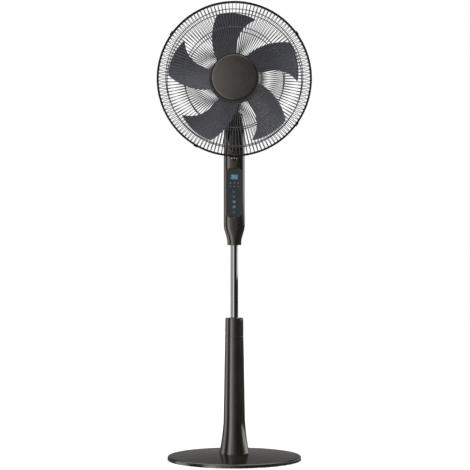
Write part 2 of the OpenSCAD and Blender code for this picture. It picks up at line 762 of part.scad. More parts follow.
module stator_coils() color([0.75, 0.4, 0.2]) at_head() {
    ring(stator_r - 8, rotor_r + 3, core_f[0] - 9, core_f[0]);
    ring(stator_r - 8, rotor_r + 3, core_f[1], core_f[1] + 5);
}

module motor_bearings() color([0.72, 0.55, 0.25]) at_head() {
    ring(bearing_r, shaft_r + run_fit, motor_face - 16, motor_face - 4);
    ring(bearing_r, shaft_r + run_fit, rear_bearing_f[0], rear_bearing_f[1]);
}

module motor_bolts() color("silver") at_head() around(4, bolt_circle_r, 45) {
    rod(m4, rear_bracket_f[0], motor_face - 1.5);
    rod(1.8 * m4, rear_bracket_f[0] - 3, rear_bracket_f[0]);
}

// Height of a grille above the rim plane, flat in the middle and round at the edge
function dome(r, depth) = depth * sqrt(max(0, 1 - pow(r / wire_end_r, 8)));

// One bent wire, as a strip of even thickness in the plane of the axis
module grille_wire(start_r, depth) {
    radii = [start_r, inner_ring_r, 0.77 * wire_end_r, outer_ring_r, 0.955 * wire_end_r, 0.985 * wire_end_r];
    line = concat([for (r = radii) [r, dome(r, depth)]], [[wire_end_r + 1, hoop_low + 1]]);
    n = len(line);
    along = [for (i = [0 : n - 1]) let(d = line[min(n - 1, i + 1)] - line[max(0, i - 1)]) d / norm(d)];
    side = [for (t = along) wire_d / 2 * [-t[1], t[0]]];
    rotate([90, 0, 0]) linear_extrude(wire_d, center = true) polygon(concat(
        [for (i = [0 : n - 1]) line[i] + side[i]], [for (i = [n - 1 : -1 : 0]) line[i] - side[i]]));
}

// A ring of square wire
module square_ring(r, z, w) rotate_extrude($fn = 180) translate([r - w / 2, z - w / 2]) square(w);

module wire_dome(start_r, depth) {
    for (i = [0 : wire_count - 1]) rotate(360 * (i + 0.5) / wire_count) grille_wire(start_r, depth);
    square_ring(inner_ring_r, dome(inner_ring_r, depth), 1.4 * wire_d);
    square_ring(outer_ring_r, dome(outer_ring_r, depth), 1.4 * wire_d);
    // Hoop that the rim band holds
    ring(hoop_r, hoop_r - hoop_w, hoop_low, hoop_low + hoop_h);
}

module rear_grille() color([0.2, 0.2, 0.2]) at_head() {
    translate([0, 0, rim_f]) mirror([0, 0, 1]) wire_dome(rear_plate_r - 3, rear_depth);
    ring(rear_plate_r, boss_r + 0.2, plate_f, plate_f + 2.6);
}

module grille_nut() color([0.10, 0.09, 0.08]) at_head()
    ring(boss_r + 12, boss_r, plate_f + 2.6, motor_face + 13);

module front_grille() color([0.2, 0.2, 0.2]) at_head() translate([0, 0, rim_f]) {
    wire_dome(front_ring_r - 1, front_depth);
    ring(front_ring_r + 2, front_ring_r - 2, front_depth - 1.5, front_depth + 1.5);
}

module centre_cap() color([0.25, 0.23, 0.21]) at_head() {
    seat = rim_f + front_depth + 1.5;
    crown = 5;
    top = [for (i = [0 : 8]) let(s = i / 8) [(cap_d / 2 - 2) * s, seat + 2 + crown * (1 - s * s)]];
    bottom = [for (i = [8 : -1 : 0]) let(s = i / 8) [(cap_d / 2 - 4) * s, seat + crown * (1 - s * s)]];
    rotate_extrude($fn = 120) polygon(concat(top, [[cap_d / 2, seat + 0.8], [cap_d / 2, seat]], bottom));
    // Clip legs inside the grille's centre ring
    around(4, front_ring_r - 4.2, 45) translate([-1, -4, seat - 8]) cube([2, 8, 10]);
}

module rim_band() color([0.06, 0.06, 0.06]) at_head() translate([0, 0, rim_f]) {
    r = grille_d / 2;
    lip_r = wire_end_r + 1.6;
    difference() {
        rotate_extrude($fn = 180) polygon([[lip_r, -band_w / 2], [r, -band_w / 2], [r, band_w / 2],
            [lip_r, band_w / 2], [lip_r, band_w / 2 - 1.5], [r - band_t, band_w / 2 - 1.5],
            [r - band_t, -band_w / 2 + 1.5], [lip_r, -band_w / 2 + 1.5]]);
        translate([-2, -r - 5, -band_w]) cube([4, 20, 2 * band_w]);
    }
    // Ears at the split, drawn together by the rim screw
    for (s = [-1, 1]) translate([s * 4, -r - 3, 0]) difference() {
        cube([4, 10, band_w - 4], center = true);
        rotate([0, 90, 0]) translate([0, -1.8, 0]) cylinder(h = 10, r = 1.5 + screw_slack, center = true);
        translate([-5, 3.5, -10]) cube([10, 10, 20]);
    }
}

module rim_screw() color("silver") at_head() translate([0, -grille_d / 2 - 4.8, rim_f]) rotate([0, 90, 0]) {
    rod(1.5, -7, 9);
    rod(2.8, -9, -6);
    translate([0, 0, 6]) difference() {
        cylinder(h = 2.4, r = 3, $fn = 6);
        translate([0, 0, -1]) cylinder(h = 5, r = 1.5);
    }
}

// Spring clips that hook over both edges of the rim band
module rim_clips() color([0.06, 0.06, 0.06]) at_head() translate([0, 0, rim_f])
    for (a = clip_angles) rotate(a) translate([grille_d / 2, 0, 0]) {
        translate([0.15, -6, -band_w / 2 - 1.8]) cube([1.8, 12, band_w + 3.6]);
        for (s = [-1, 1]) translate([-4, -6, s * (band_w / 2 + 1) - 0.8]) cube([5, 12, 1.6]);
    }

// ---------------------------------------------------------------- rotor

module motor_shaft() color("silver") at_head() difference() {
    rod(shaft_r, -50, hub_f[1] + 12);
    translate([0, 0, pin_f]) rotate([0, 90, 0]) rod(1.5, -10, 10);
}

module drive_pin() color("silver") at_head() translate([0, 0, pin_f]) rotate([0, 90, 0]) rod(1.5, -10, 10);

module rotor_core() color([0.5, 0.5, 0.52]) at_head() ring(rotor_r, shaft_r, core_f[0], core_f[1]);

// Angles of a blade's two edges at a radius, for the blade that points up
function span(r) = (r - root_r) / (blade_r - root_r);
function trailing_angle(r) = 134 - 29 * span(r);
function leading_angle(r) = 86.6 - 16.5 * pow(max(0, span(r)), 1.9);
// The tip is furthest out at the trailing edge
function tip_r(v) = blade_r - 8.5 * v * v;
function blade_h(r) = blade_root_h + (blade_tip_h - blade_root_h) * span(r);

// A point of the blade's middle surface; u runs from hub to tip, v from trailing to leading edge
function blade_point(u, v, lift) = let(
    r = root_r + (tip_r(v) - root_r) * u,
    a = trailing_angle(r) + (leading_angle(r) - trailing_angle(r)) * v,
    f = (hub_f[0] + hub_f[1]) / 2 + blade_h(r) * (0.5 - v) - 5 * sin(180 * v) + lift)
    [r * cos(a), r * sin(a), f];

module blade() {
    nu = 8;
    nv = 8;
    row = nv + 1;
    size = (nu + 1) * row;
    points = concat(
        [for (i = [0 : nu], j = [0 : nv]) blade_point(i / nu, 1 - j / nv, blade_t / 2)],
        [for (i = [0 : nu], j = [0 : nv]) blade_point(i / nu, 1 - j / nv, -blade_t / 2)]);
    // Two triangles for each cell of a face, then the four edges
    faces = concat(
        [for (i = [0 : nu - 1], j = [0 : nv - 1]) let(a = i * row + j) each
            [[a, a + 1, a + row + 1], [a, a + row + 1, a + row]]],
        [for (i = [0 : nu - 1], j = [0 : nv - 1]) let(a = size + i * row + j) each
            [[a, a + row + 1, a + 1], [a, a + row, a + row + 1]]],
        [for (i = [0 : nu - 1], e = [0, 1]) let(j = e * nv, a = i * row + j, b = a + row) each e == 0
            ? [[a, b, b + size], [a, b + size, a + size]] : [[a, b + size, b], [a, a + size, b + size]]],
        [for (j = [0 : nv - 1], e = [0, 1]) let(a = e * nu * row + j, b = a + 1) each e == 0
            ? [[a, b + size, b], [a, a + size, b + size]] : [[a, b, b + size], [a, b + size, a + size]]]);
    polyhedron(points, faces);
}

module fan_blade() color([0.26, 0.26, 0.28]) at_head() difference() {
    hub_r = hub_d / 2;
    hub_wall = 3;
    union() {
        rotate_extrude($fn = 120) polygon([[shaft_r, hub_f[1]], [shaft_r + 20, hub_f[1]],
            [hub_r - 5, hub_f[1] - 3], [hub_r - 1, hub_f[1] - 6], [hub_r, hub_f[1] - 9],
            [hub_r, hub_f[0]], [hub_r - hub_wall, hub_f[0]], [hub_r - hub_wall, hub_f[1] - 9],
            [hub_r - 7, hub_f[1] - 6], [shaft_r + 20, hub_f[1] - 3.5], [shaft_r, hub_f[1] - 3.5]]);
        ring(12, shaft_r, pin_f - 3, hub_f[1] - 1);
        for (i = [0 : blade_count - 1]) rotate(360 * i / blade_count) blade();
    }
    // Slot that takes the drive pin
    translate([-11, -1.55, pin_f - 4]) cube([22, 3.1, 5.55]);
}

module spinner_nut() color([0.12, 0.12, 0.12]) at_head() difference() {
    union() {
        rod(15, hub_f[1], hub_f[1] + 4);
        rotate_extrude() polygon([[0, hub_f[1]], [11, hub_f[1]], [10, hub_f[1] + 14], [8, hub_f[1] + 16],
            [0, hub_f[1] + 16]]);
    }
    rod(shaft_r, hub_f[1] - 1, hub_f[1] + 12);
    // Finger grips
    around(6, 12.5, 0) rod(3, hub_f[1] + 4, hub_f[1] + 20);
}

base_cover();
base_ballast();
base_feet();
cover_screws();
tube_flange();
flange_screws();
column_cover();
outer_tube();
clamp_collet();
height_collar();
inner_tube();
tube_guide();
tube_socket();
socket_bolt();
housing_front();
housing_rear();
housing_screws();
panel_frame();
control_panel();
display_module();
indicator_lights();
control_board();
power_board();
motor_capacitor();
cord_inlet();
power_button();
speed_button();
swing_button();
mode_button();
timer_button();
swing_motor();
swing_pinion();
swivel_carrier();
swivel_bush();
thrust_washer();
neck();
swing_gear();
spindle_clip();
tilt_pin();
tilt_bracket();
bracket_screws();
motor_front();
motor_rear();
motor_cover();
stator_core();
stator_coils();
motor_bearings();
motor_bolts();
rear_grille();
grille_nut();
front_grille();
centre_cap();
rim_band();
rim_screw();
rim_clips();
motor_shaft();
rotor_core();
fan_blade();
spinner_nut();
drive_pin();
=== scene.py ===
# %% [markdown]
# # A pedestal fan
# This lesson dresses the working frame of a pedestal fan: a round glossy base, a trumpet column
# with a chrome tube, a slim control housing, and a head with a wire cage and five broad blades.
# Every moving part already exists as plain solids. Here each visible part gets its true surface:
# round wires, smooth lofts, soft edges and a finish made from nodes.

# %% Load the frame
import json
import math

import bmesh
import bpy
from mathutils import Matrix, Vector


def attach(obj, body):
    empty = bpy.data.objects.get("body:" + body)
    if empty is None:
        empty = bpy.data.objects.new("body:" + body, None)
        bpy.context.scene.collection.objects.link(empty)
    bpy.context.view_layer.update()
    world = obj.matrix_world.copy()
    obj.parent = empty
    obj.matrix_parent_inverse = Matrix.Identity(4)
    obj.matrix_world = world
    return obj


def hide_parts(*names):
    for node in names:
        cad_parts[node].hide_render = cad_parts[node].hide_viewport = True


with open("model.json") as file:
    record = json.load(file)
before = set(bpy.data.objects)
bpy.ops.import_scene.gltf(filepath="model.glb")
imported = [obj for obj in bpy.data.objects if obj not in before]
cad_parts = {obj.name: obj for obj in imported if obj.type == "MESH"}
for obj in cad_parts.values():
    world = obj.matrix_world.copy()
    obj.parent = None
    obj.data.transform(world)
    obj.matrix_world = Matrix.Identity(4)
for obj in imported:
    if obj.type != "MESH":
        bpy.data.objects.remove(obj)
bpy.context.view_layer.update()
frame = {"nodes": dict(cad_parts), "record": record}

# %% [markdown]
# ## Sizes that many pieces share
# All lengths are in metres. The fan's axis is level and points to -Y, so a piece of the head is
# modelled upright, with z as the distance forward of the column, and is then laid down.

# %% Shared sizes
AXIS_Z = 1.109                 # height of the blades' axis
RIM_F = 0.105                  # the cage's rim, forward of the column
WIRE_END = 0.2176              # radius at which the cage's wires end
COLUMN_TOP = 0.416             # top of the lower column
WALL = 0.0025                  # thickness of the moulded covers
FACE_FRONT = Matrix.Rotation(math.radians(90), 4, "X")      # turns +Z to -Y
LAY_DOWN = Matrix.Translation((0, 0, AXIS_Z)) @ FACE_FRONT

# %% [markdown]
# ## Finishes
# Moulded plastic, lacquer and plated steel read as real when colour and roughness change a little
# over the surface. One helper builds that from two noise fields on Object coordinates: a broad one
# for colour and roughness, and a fine one for the grain that catches the light. Values that are
# the same everywhere, such as the coat or how metallic it is, are set on the shader itself.

# %% Helper for a node with its inputs set
def add_node(tree, kind, **inputs):
    made = tree.nodes.new(kind)
    for key, value in inputs.items():
        made.inputs[key.replace("_", " ")].default_value = value
    return made


def shade_of(colour, factor):
    return tuple(min(1.0, c * factor) for c in colour) + (1.0,)


# %% Helper for a noise-based finish
FINISHES = {}


def finish_of(name, colour, rough=0.4, spread=0.2, rough_spread=0.06, grain=900.0, bump=0.05,
              broad=14.0, metallic=0.0, coat=0.0, coat_rough=0.04, glow=0.0,
              shine=0.5, tint=(1, 1, 1)):
    """A surface whose colour, roughness and bump come from noise on Object coordinates."""
    made = bpy.data.materials.new(name)
    made.use_nodes = True
    tree, link = made.node_tree, made.node_tree.links.new
    shader = tree.nodes["Principled BSDF"]
    shader.inputs["Metallic"].default_value = metallic
    shader.inputs["Specular IOR Level"].default_value = shine
    shader.inputs["Specular Tint"].default_value = (*tint, 1)
    shader.inputs["Coat Weight"].default_value = coat
    shader.inputs["Coat Roughness"].default_value = coat_rough
    place = add_node(tree, "ShaderNodeTexCoord")
    wide = add_node(tree, "ShaderNodeTexNoise", Scale=broad, Detail=4.0, Roughness=0.6)
    fine = add_node(tree, "ShaderNodeTexNoise", Scale=grain, Detail=3.0, Roughness=0.55)
    ramp = add_node(tree, "ShaderNodeValToRGB")
    ramp.color_ramp.elements[0].position = 0.3
    ramp.color_ramp.elements[0].color = shade_of(colour, 1 - spread)
    ramp.color_ramp.elements[1].position = 0.7
    ramp.color_ramp.elements[1].color = shade_of(colour, 1 + spread)
    span = add_node(tree, "ShaderNodeMapRange", From_Min=0.3, From_Max=0.7,
                    To_Min=max(0.02, rough - rough_spread), To_Max=rough + rough_spread)
    relief = add_node(tree, "ShaderNodeBump", Strength=bump, Distance=0.0002)
    link(place.outputs["Object"], wide.inputs["Vector"])
    link(place.outputs["Object"], fine.inputs["Vector"])
    link(wide.outputs["Fac"], ramp.inputs["Fac"])
    link(wide.outputs["Fac"], span.inputs["Value"])
    link(fine.outputs["Fac"], relief.inputs["Height"])
    link(ramp.outputs["Color"], shader.inputs["Base Color"])
    link(span.outputs["Result"], shader.inputs["Roughness"])
    link(relief.outputs["Normal"], shader.inputs["Normal"])
    if glow:
        shader.inputs["Emission Strength"].default_value = glow
        link(ramp.outputs["Color"], shader.inputs["Emission Color"])
    FINISHES[name] = made
    return made


# %% [markdown]
# The stand and the housing are moulded in a very dark brown and polished, so they get a clear coat
# over an almost black base. The blades are satin slate, the cap is a warm satin brown, and the
# cage is powder-coated wire.

# %% Finishes for the outside
finish_of("dark_gloss", (0.0125, 0.0104, 0.0084), rough=0.11, rough_spread=0.03, spread=0.25,
          grain=1400, bump=0.012, coat=0.25, coat_rough=0.02, tint=(1, 0.94, 0.84))
finish_of("dark_satin", (0.022, 0.020, 0.019), rough=0.38, spread=0.2, grain=1100, bump=0.06)
finish_of("dark_matte", (0.014, 0.013, 0.013), rough=0.6, spread=0.2, grain=1500, bump=0.12)
finish_of("blade_slate", (0.050, 0.052, 0.063), rough=0.36, spread=0.10, grain=1600, bump=0.05,
          broad=9)
finish_of("cap_satin", (0.0255, 0.0215, 0.0175), rough=0.27, spread=0.14, grain=1500, bump=0.05)
finish_of("rim_black", (0.006, 0.006, 0.0065), rough=0.5, spread=0.2, grain=1200, bump=0.08,
          shine=0.12)
finish_of("grille_wire", (0.050, 0.050, 0.053), rough=0.42, spread=0.12, grain=1800, bump=0.05,
          shine=0.3)
finish_of("chrome", (0.20, 0.20, 0.203), rough=0.045, spread=0.03, rough_spread=0.015, grain=2400,
          bump=0.006, metallic=1.0)
finish_of("panel_lens", (0.010, 0.0175, 0.0205), rough=0.12, spread=0.12, rough_spread=0.03,
          grain=1700, bump=0.01, coat=0.15, coat_rough=0.02)
finish_of("button_plastic", (0.014, 0.024, 0.028), rough=0.3, spread=0.12, grain=1700, bump=0.03)
finish_of("display_light", (0.030, 0.080, 0.095), rough=0.25, spread=0.12, broad=120, glow=0.6)
finish_of("digit_light", (0.12, 0.26, 0.30), rough=0.25, spread=0.1, broad=120, glow=0.6)
finish_of("icon_light", (0.060, 0.090, 0.098), rough=0.3, spread=0.15, broad=150, glow=0.5)
finish_of("icon_blush", (0.100, 0.065, 0.077), rough=0.3, spread=0.15, broad=150, glow=0.5)
finish_of("button_light", (0.055, 0.095, 0.107), rough=0.3, spread=0.15, broad=150, glow=0.5)
finish_of("bright_mark", (0.17, 0.235, 0.26), rough=0.3, spread=0.15, broad=150, glow=0.6)

# %% Finishes for the inside and underneath
finish_of("ballast_steel", (0.16, 0.16, 0.165), rough=0.5, metallic=0.9, grain=500, bump=0.1)
finish_of("rubber", (0.012, 0.012, 0.012), rough=0.78, grain=800, bump=0.25)
finish_of("zinc", (0.56, 0.55, 0.52), rough=0.3, metallic=1.0, grain=1500, bump=0.05, broad=60)
finish_of("tube_steel", (0.34, 0.34, 0.35), rough=0.35, metallic=1.0, grain=1200, bump=0.08)
finish_of("white_acetal", (0.78, 0.77, 0.73), rough=0.42, spread=0.04, grain=900, bump=0.05)
finish_of("white_plastic", (0.74, 0.73, 0.69), rough=0.36, spread=0.05, grain=900, bump=0.05)
finish_of("board_green", (0.015, 0.10, 0.045), rough=0.34, spread=0.3, broad=160, grain=700,
          bump=0.2)
finish_of("bronze", (0.42, 0.25, 0.09), rough=0.4, metallic=1.0, grain=1400, bump=0.15)
finish_of("die_cast", (0.42, 0.42, 0.43), rough=0.48, metallic=0.9, grain=650, bump=0.3)
print(len(FINISHES), "finishes so far")

# %% [markdown]
# Two finishes have a pattern that follows the part. A motor core is a stack of thin steel sheets,
# and a coil is enamelled wire. A wave texture along the motor's axis draws both.

# %% Banded finishes for the motor
def banded(name, dark, light, bands_per_metre, rough, metallic):
    made = finish_of(name, light, rough=rough, metallic=metallic)
    tree, link = made.node_tree, made.node_tree.links.new
    place = tree.nodes["Texture Coordinate"]
    wave = add_node(tree, "ShaderNodeTexWave", Scale=bands_per_metre, Distortion=0.4, Detail=1.0)
    wave.bands_direction = "Y"
    tint = add_node(tree, "ShaderNodeValToRGB")
    tint.color_ramp.elements[0].color = (*dark, 1)
    tint.color_ramp.elements[1].color = (*light, 1)
    relief = tree.nodes["Bump"]
    relief.inputs["Strength"].default_value = 0.4
    link(place.outputs["Object"], wave.inputs["Vector"])
    link(wave.outputs["Fac"], tint.inputs["Fac"])
    link(wave.outputs["Fac"], relief.inputs["Height"])
    link(tint.outputs["Color"], tree.nodes["Principled BSDF"].inputs["Base Color"])
    return made


banded("core_steel", (0.10, 0.10, 0.11), (0.30, 0.30, 0.31), 320, 0.45, 0.9)
banded("copper", (0.20, 0.06, 0.02), (0.62, 0.24, 0.09), 220, 0.35, 0.8)

# %% [markdown]
# ## Making pieces
# Most of a fan is turned work, so most pieces start as an outline that is spun round. The outline's
# sharp corners are rounded first with a vertex bevel, because a moulded edge is never sharp, and
# a spun round corner costs only a few faces. Spins and bevels come up so often that each has a
# helper with its usual settings.

# %% Helpers for a spin about Z and for a bevel
def spin_z(bm, geom, angle, steps, merge=True, copies=False):
    bmesh.ops.spin(bm, geom=geom, cent=(0, 0, 0), axis=(0, 0, 1), dvec=(0, 0, 0), angle=angle,
                   steps=steps, use_merge=merge, use_normal_flip=False, use_duplicate=copies)


def bevel(bm, geom, width, segments, affect="EDGES"):
    bmesh.ops.bevel(bm, geom=geom, offset=width, offset_type="OFFSET", segments=segments,
                    profile=0.5, affect=affect, clamp_overlap=True, material=-1)


# %% Helper for the outline of a turned piece
ON_AXIS = 1e-6                 # radius below which a point lies on the axis
SHARP_CORNER = math.radians(24)


def outline_mesh(points, soften, closed=True):
    """Points (radius, height) as a wire in the XZ plane, its sharp corners rounded."""
    bm = bmesh.new()
    verts = [bm.verts.new((r, 0, z)) for r, z in points]
    pairs = list(zip(verts, verts[1:])) + ([(verts[-1], verts[0])] if closed else [])
    for a, b in pairs:
        bm.edges.new((a, b))
    corners = []
    for v in verts:
        if len(v.link_edges) == 2 and v.co.x > ON_AXIS:
            a, b = (e.other_vert(v).co - v.co for e in v.link_edges)
            if a.angle(-b) > SHARP_CORNER:
                corners.append(v)
    if soften and corners:
        bevel(bm, corners, soften, 3, "VERTICES")
    return bm


# %% Helper that spins an outline
def turned(points, soften=0.0005, steps=160, turn=360.0):
    """A solid of revolution about the Z axis, from a closed outline."""
    bm = outline_mesh(points, soften)
    full = turn >= 360
    spin_z(bm, bm.verts[:] + bm.edges[:], math.radians(turn), steps, merge=full)
    bmesh.ops.remove_doubles(bm, verts=bm.verts, dist=1e-7)
    if not full:
        bmesh.ops.holes_fill(bm, edges=[e for e in bm.edges if e.is_boundary], sides=0)
    bmesh.ops.recalc_face_normals(bm, faces=bm.faces)
    return bm


# %% [markdown]
# Every finished piece goes through one function. It lays the mesh in its own object at the origin,
# smooths it except at real edges, gives it its finish, and lets it ride on its body in place of
# the plain solids that it stands for.

# %% Helpers that make an object and finish a piece
SHARP = 32.0                   # degrees; a steeper edge stays sharp in the shading


def object_from(name, bm):
    mesh = bpy.data.meshes.new(name)
    bm.to_mesh(mesh)
    bm.free()
    made = bpy.data.objects.new(name, mesh)
    bpy.context.scene.collection.objects.link(made)
    return made


def piece(name, bm, body, finish, *stands_for, place=None, sharp=SHARP):
    if place is not None:
        bmesh.ops.transform(bm, matrix=place, verts=bm.verts)
    for face in bm.faces:
        face.smooth = True
    made = object_from(name, bm)
    mesh = made.data
    mesh.set_sharp_from_angle(angle=math.radians(sharp))
    mesh.materials.append(FINISHES[finish])
    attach(made, body)
    if stands_for:
        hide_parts(*stands_for)
    print(f"{name}: {len(mesh.polygons)} faces on {body}")
    return made


# %% [markdown]
# Brackets, clips and screws already have the right form in the frame, and lack only their edge
# rounding. A copy of such a solid has its doubled vertices merged, its flat faces joined again, and
# its sharp edges bevelled.

# %% Helper that softens the edges of a frame part
def softened(node_name, body, finish, width=0.0004, segments=2, sharp=SHARP):
    bm = bmesh.new()
    bm.from_mesh(frame["nodes"][node_name].data)
    bmesh.ops.remove_doubles(bm, verts=bm.verts, dist=2e-6)
    bmesh.ops.dissolve_limit(bm, angle_limit=math.radians(1.0), verts=bm.verts, edges=bm.edges)
    edges = [e for e in bm.edges if len(e.link_faces) == 2
             and e.calc_face_angle(0) > math.radians(28) and e.calc_length() > 1.5 * width]
    bevel(bm, edges, width, segments)
    return piece(node_name + "_soft", bm, body, finish, node_name, sharp=sharp)


# %% [markdown]
# ## The base
# The real base is a thin moulded disc that dips gently from the column to a rounded edge, and stops
# just above the floor. Spinning its section gives the true mirror-like curve, where a flattened
# cylinder would show a hard step at the edge.

# %% Base cover
BASE_R = 0.196
DIP_START, DIP_RUN = 0.046, 0.146          # where the dip begins, and how far out it runs
EDGE_R, EDGE_Z, EDGE_ROUND = 0.192, 0.007, 0.004
FLOOR_GAP = 0.0006                         # the lip ends just above the floor
LIP_R = 0.1935                             # inside of the lip


def dish(r):
    """Height of the top at a radius."""
    return 0.019 - 0.008 * max(0.0, (r - DIP_START) / DIP_RUN) ** 1.25


dish_radii = [0.018] + [DIP_START + DIP_RUN * i / 26 for i in range(27)]
edge_arc = [(EDGE_R + EDGE_ROUND * math.cos(math.radians(a)),
             EDGE_Z + EDGE_ROUND * math.sin(math.radians(a))) for a in (72, 54, 36, 18, 0)]
base_outline = ([(r, dish(r)) for r in dish_radii] + edge_arc
                + [(BASE_R, FLOOR_GAP), (LIP_R, FLOOR_GAP), (LIP_R, EDGE_Z)]
                + [(r, dish(r) - WALL) for r in reversed(dish_radii)])
piece("base_shell", turned(base_outline, soften=0.0003, steps=240), "stand", "dark_gloss",
      "base_cover")

# %% [markdown]
# ## The column and its collar
# The lower column is a trumpet: nearly straight, then flaring out to meet the base. A collar at the
# top twists to free the chrome tube, and only a hairline shows where it begins. Rings placed close
# together next to each edge keep the shading of the long faces even.

# %% Column, collar and chrome tube
FOOT_Z, FLARE_TOP = 0.019, 0.125           # the flare's lower and upper ends
FLARE_HEIGHT = 0.106
STRAIGHT_HEIGHT = 0.291
COLLAR_Z = 0.364                           # underside of the collar


def column_radius(z):
    straight = 0.0261 + 0.0054 * min(1.0, (COLUMN_TOP - z) / STRAIGHT_HEIGHT)
    return straight + 0.0125 * max(0.0, (FLARE_TOP - z) / FLARE_HEIGHT) ** 1.6


flare = ([FOOT_Z + FLARE_HEIGHT * i / 24 for i in range(25)]
         + [0.18, 0.24, 0.30, 0.356, 0.362, 0.3637])
column_outline = ([(column_radius(z), z) for z in flare]
                  + [(column_radius(z) - WALL, z) for z in reversed(flare)])
piece("column_shell", turned(column_outline, soften=0.0004), "stand", "dark_gloss",
      "column_cover")

collar_outline = [(column_radius(z), z) for z in (COLLAR_Z, 0.3655, 0.370, 0.390, 0.406, 0.412)]
collar_outline += [(0.0261, 0.4135), (0.0255, 0.4154), (0.0241, COLUMN_TOP), (0.0114, COLUMN_TOP),
                  (0.0114, 0.408), (0.0136, 0.408), (0.0136, 0.406), (0.0158, 0.396),
                  (0.0158, COLLAR_Z), (0.0185, COLLAR_Z), (0.0185, 0.404), (0.0236, 0.404),
                  (column_radius(COLLAR_Z) - WALL, COLLAR_Z)]
piece("collar_shell", turned(collar_outline, soften=0.0003), "height_collar", "dark_gloss",
      "height_collar")

TUBE_R, TUBE_BORE = 0.011, 0.0098
TUBE_LOW, TUBE_HIGH = 0.3457, 0.6815
tube_outline = [(TUBE_R, TUBE_LOW), (TUBE_R, TUBE_HIGH), (TUBE_BORE, TUBE_HIGH),
                (TUBE_BORE, TUBE_LOW)]
piece("chrome_tube", turned(tube_outline, soften=0.0002, steps=96), "mast", "chrome",
      "inner_tube")

# %% [markdown]
# ## The control housing
# Its section grows from a circle at the tube into a rounded rectangle, and narrows again under the
# neck. Rings of one circle each are pushed into that section and bridged, which keeps the long
# reflections clean. A box would need large bevels that cannot change along the height.

# %% Section of the housing at a height
LOW, HIGH = 0.6355, 1.007      # ends of the part whose section changes
TAPER = 0.054                  # height over which each end changes
BOTTOM, TOP = 0.6295, 1.015
SHOULDER, SHOULDER_ROUND = 1.012, 0.003    # start and radius of the top's rounding


def ease(t):
    return (1 - math.cos(math.pi * min(1.0, max(0.0, t)))) / 2


def section(z):
    """Half width, half depth and squareness; 2 is an ellipse."""
    low, high = ease((z - LOW) / TAPER), ease((HIGH - z) / TAPER)
    return (0.0205 + 0.0105 * low - 0.0075 * (1 - high),
            0.0205 + 0.0045 * low - 0.0030 * (1 - high),
            2 + 0.75 * low * (0.35 + 0.65 * high))


# %% Rings bridged into a skin
def ring(bm, z, w, d, n, sides=112):
    """A closed ring of vertices, pushed from a circle into the section."""
    made = bmesh.ops.create_circle(bm, cap_ends=False, radius=1.0, segments=sides)["verts"]
    for v in made:
        x, y = v.co.x, v.co.y
        v.co = Vector((w * math.copysign(abs(x) ** (2 / n), x),
                       d * math.copysign(abs(y) ** (2 / n), y), z))
    return [e for e in bm.edges if e.verts[0] in made and e.verts[1] in made]


def housing_rows(inset):
    """Height, half width, half depth and squareness of each ring, from the bottom hole up."""
    heights = sorted({LOW + TAPER * i / 12 for i in range(13)}
                     | {HIGH - TAPER * i / 12 for i in range(13)})
    rows = [(BOTTOM + inset, 0.0113, 0.0113, 2)]
    for z, r in ((BOTTOM, 0.0196), (0.6298, 0.0202), (0.6305, 0.0205)):
        rows.append((z + inset, r - inset, r - inset, 2))
    for z in heights:
        w, d, n = section(z)
        rows.append((z, w - inset, d - inset, n))
    w, d, n = section(HIGH)
    for a in (0, 25, 45, 60, 75, 90):
        fall = SHOULDER_ROUND * (1 - math.cos(math.radians(a)))
        rise = SHOULDER_ROUND * math.sin(math.radians(a))
        rows.append((SHOULDER + rise - inset, w - fall - inset, d - fall - inset, n))
    rows.append((TOP - inset, 0.0141, 0.0141, 2))
    return rows


def add_skin(bm, inset):
    """Bridge the rings of one skin and return them."""
    rings = [ring(bm, *row) for row in housing_rows(inset)]
    for low, high in zip(rings, rings[1:]):
        bmesh.ops.bridge_loops(bm, edges=low + high)
    return rings


# %% [markdown]
# The skin is doubled with a smaller one inside, and the two are joined round both end holes, so the
# housing is a closed moulded wall. Cutting it at the middle plane gives the front and rear
# shells, whose parting line shows on both sides.

# %% Closed wall, cut into two shells
PARTING_GAP = 0.00012          # from the middle plane to each shell


def housing_wall():
    bm = bmesh.new()
    outer, inner = add_skin(bm, 0.0), add_skin(bm, WALL)
    for end in (0, -1):
        bmesh.ops.bridge_loops(bm, edges=outer[end] + inner[end])
    bmesh.ops.recalc_face_normals(bm, faces=bm.faces)
    return bm


def half_shell(side):
    """side is -1 for the front and 1 for the rear."""
    bm = housing_wall()
    bmesh.ops.bisect_plane(bm, geom=bm.verts[:] + bm.edges[:] + bm.faces[:], dist=1e-7,
                           plane_co=(0, side * PARTING_GAP, 0), plane_no=(0, -side, 0),
                           clear_outer=True, clear_inner=False)
    rim = [e for e in bm.edges if e.is_boundary]
    bmesh.ops.holes_fill(bm, edges=rim, sides=0)
    left_open = [e for e in bm.edges if e.is_boundary]
    if left_open:
        bmesh.ops.triangle_fill(bm, use_beauty=True, edges=left_open)
    bmesh.ops.recalc_face_normals(bm, faces=bm.faces)
    return bm


# %% [markdown]
# Openings are cut with a Boolean against simple cutter solids, as a mould maker would core them
# out. The cutters are removed afterwards.

# %% Helpers that carve cutters out of a piece
def cutter(bm):
    return object_from("cutter", bm)


def rod_cutter(radius, low, high, x=0.0, z=0.0):
    """A round cutter along Y, from one y to another."""
    bm = bmesh.new()
    bmesh.ops.create_cone(bm, cap_ends=True, segments=48, radius1=radius, radius2=radius,
                          depth=high - low)
    move = Matrix.Translation((x, (low + high) / 2, z)) @ FACE_FRONT
    bmesh.ops.transform(bm, matrix=move, verts=bm.verts)
    return cutter(bm)


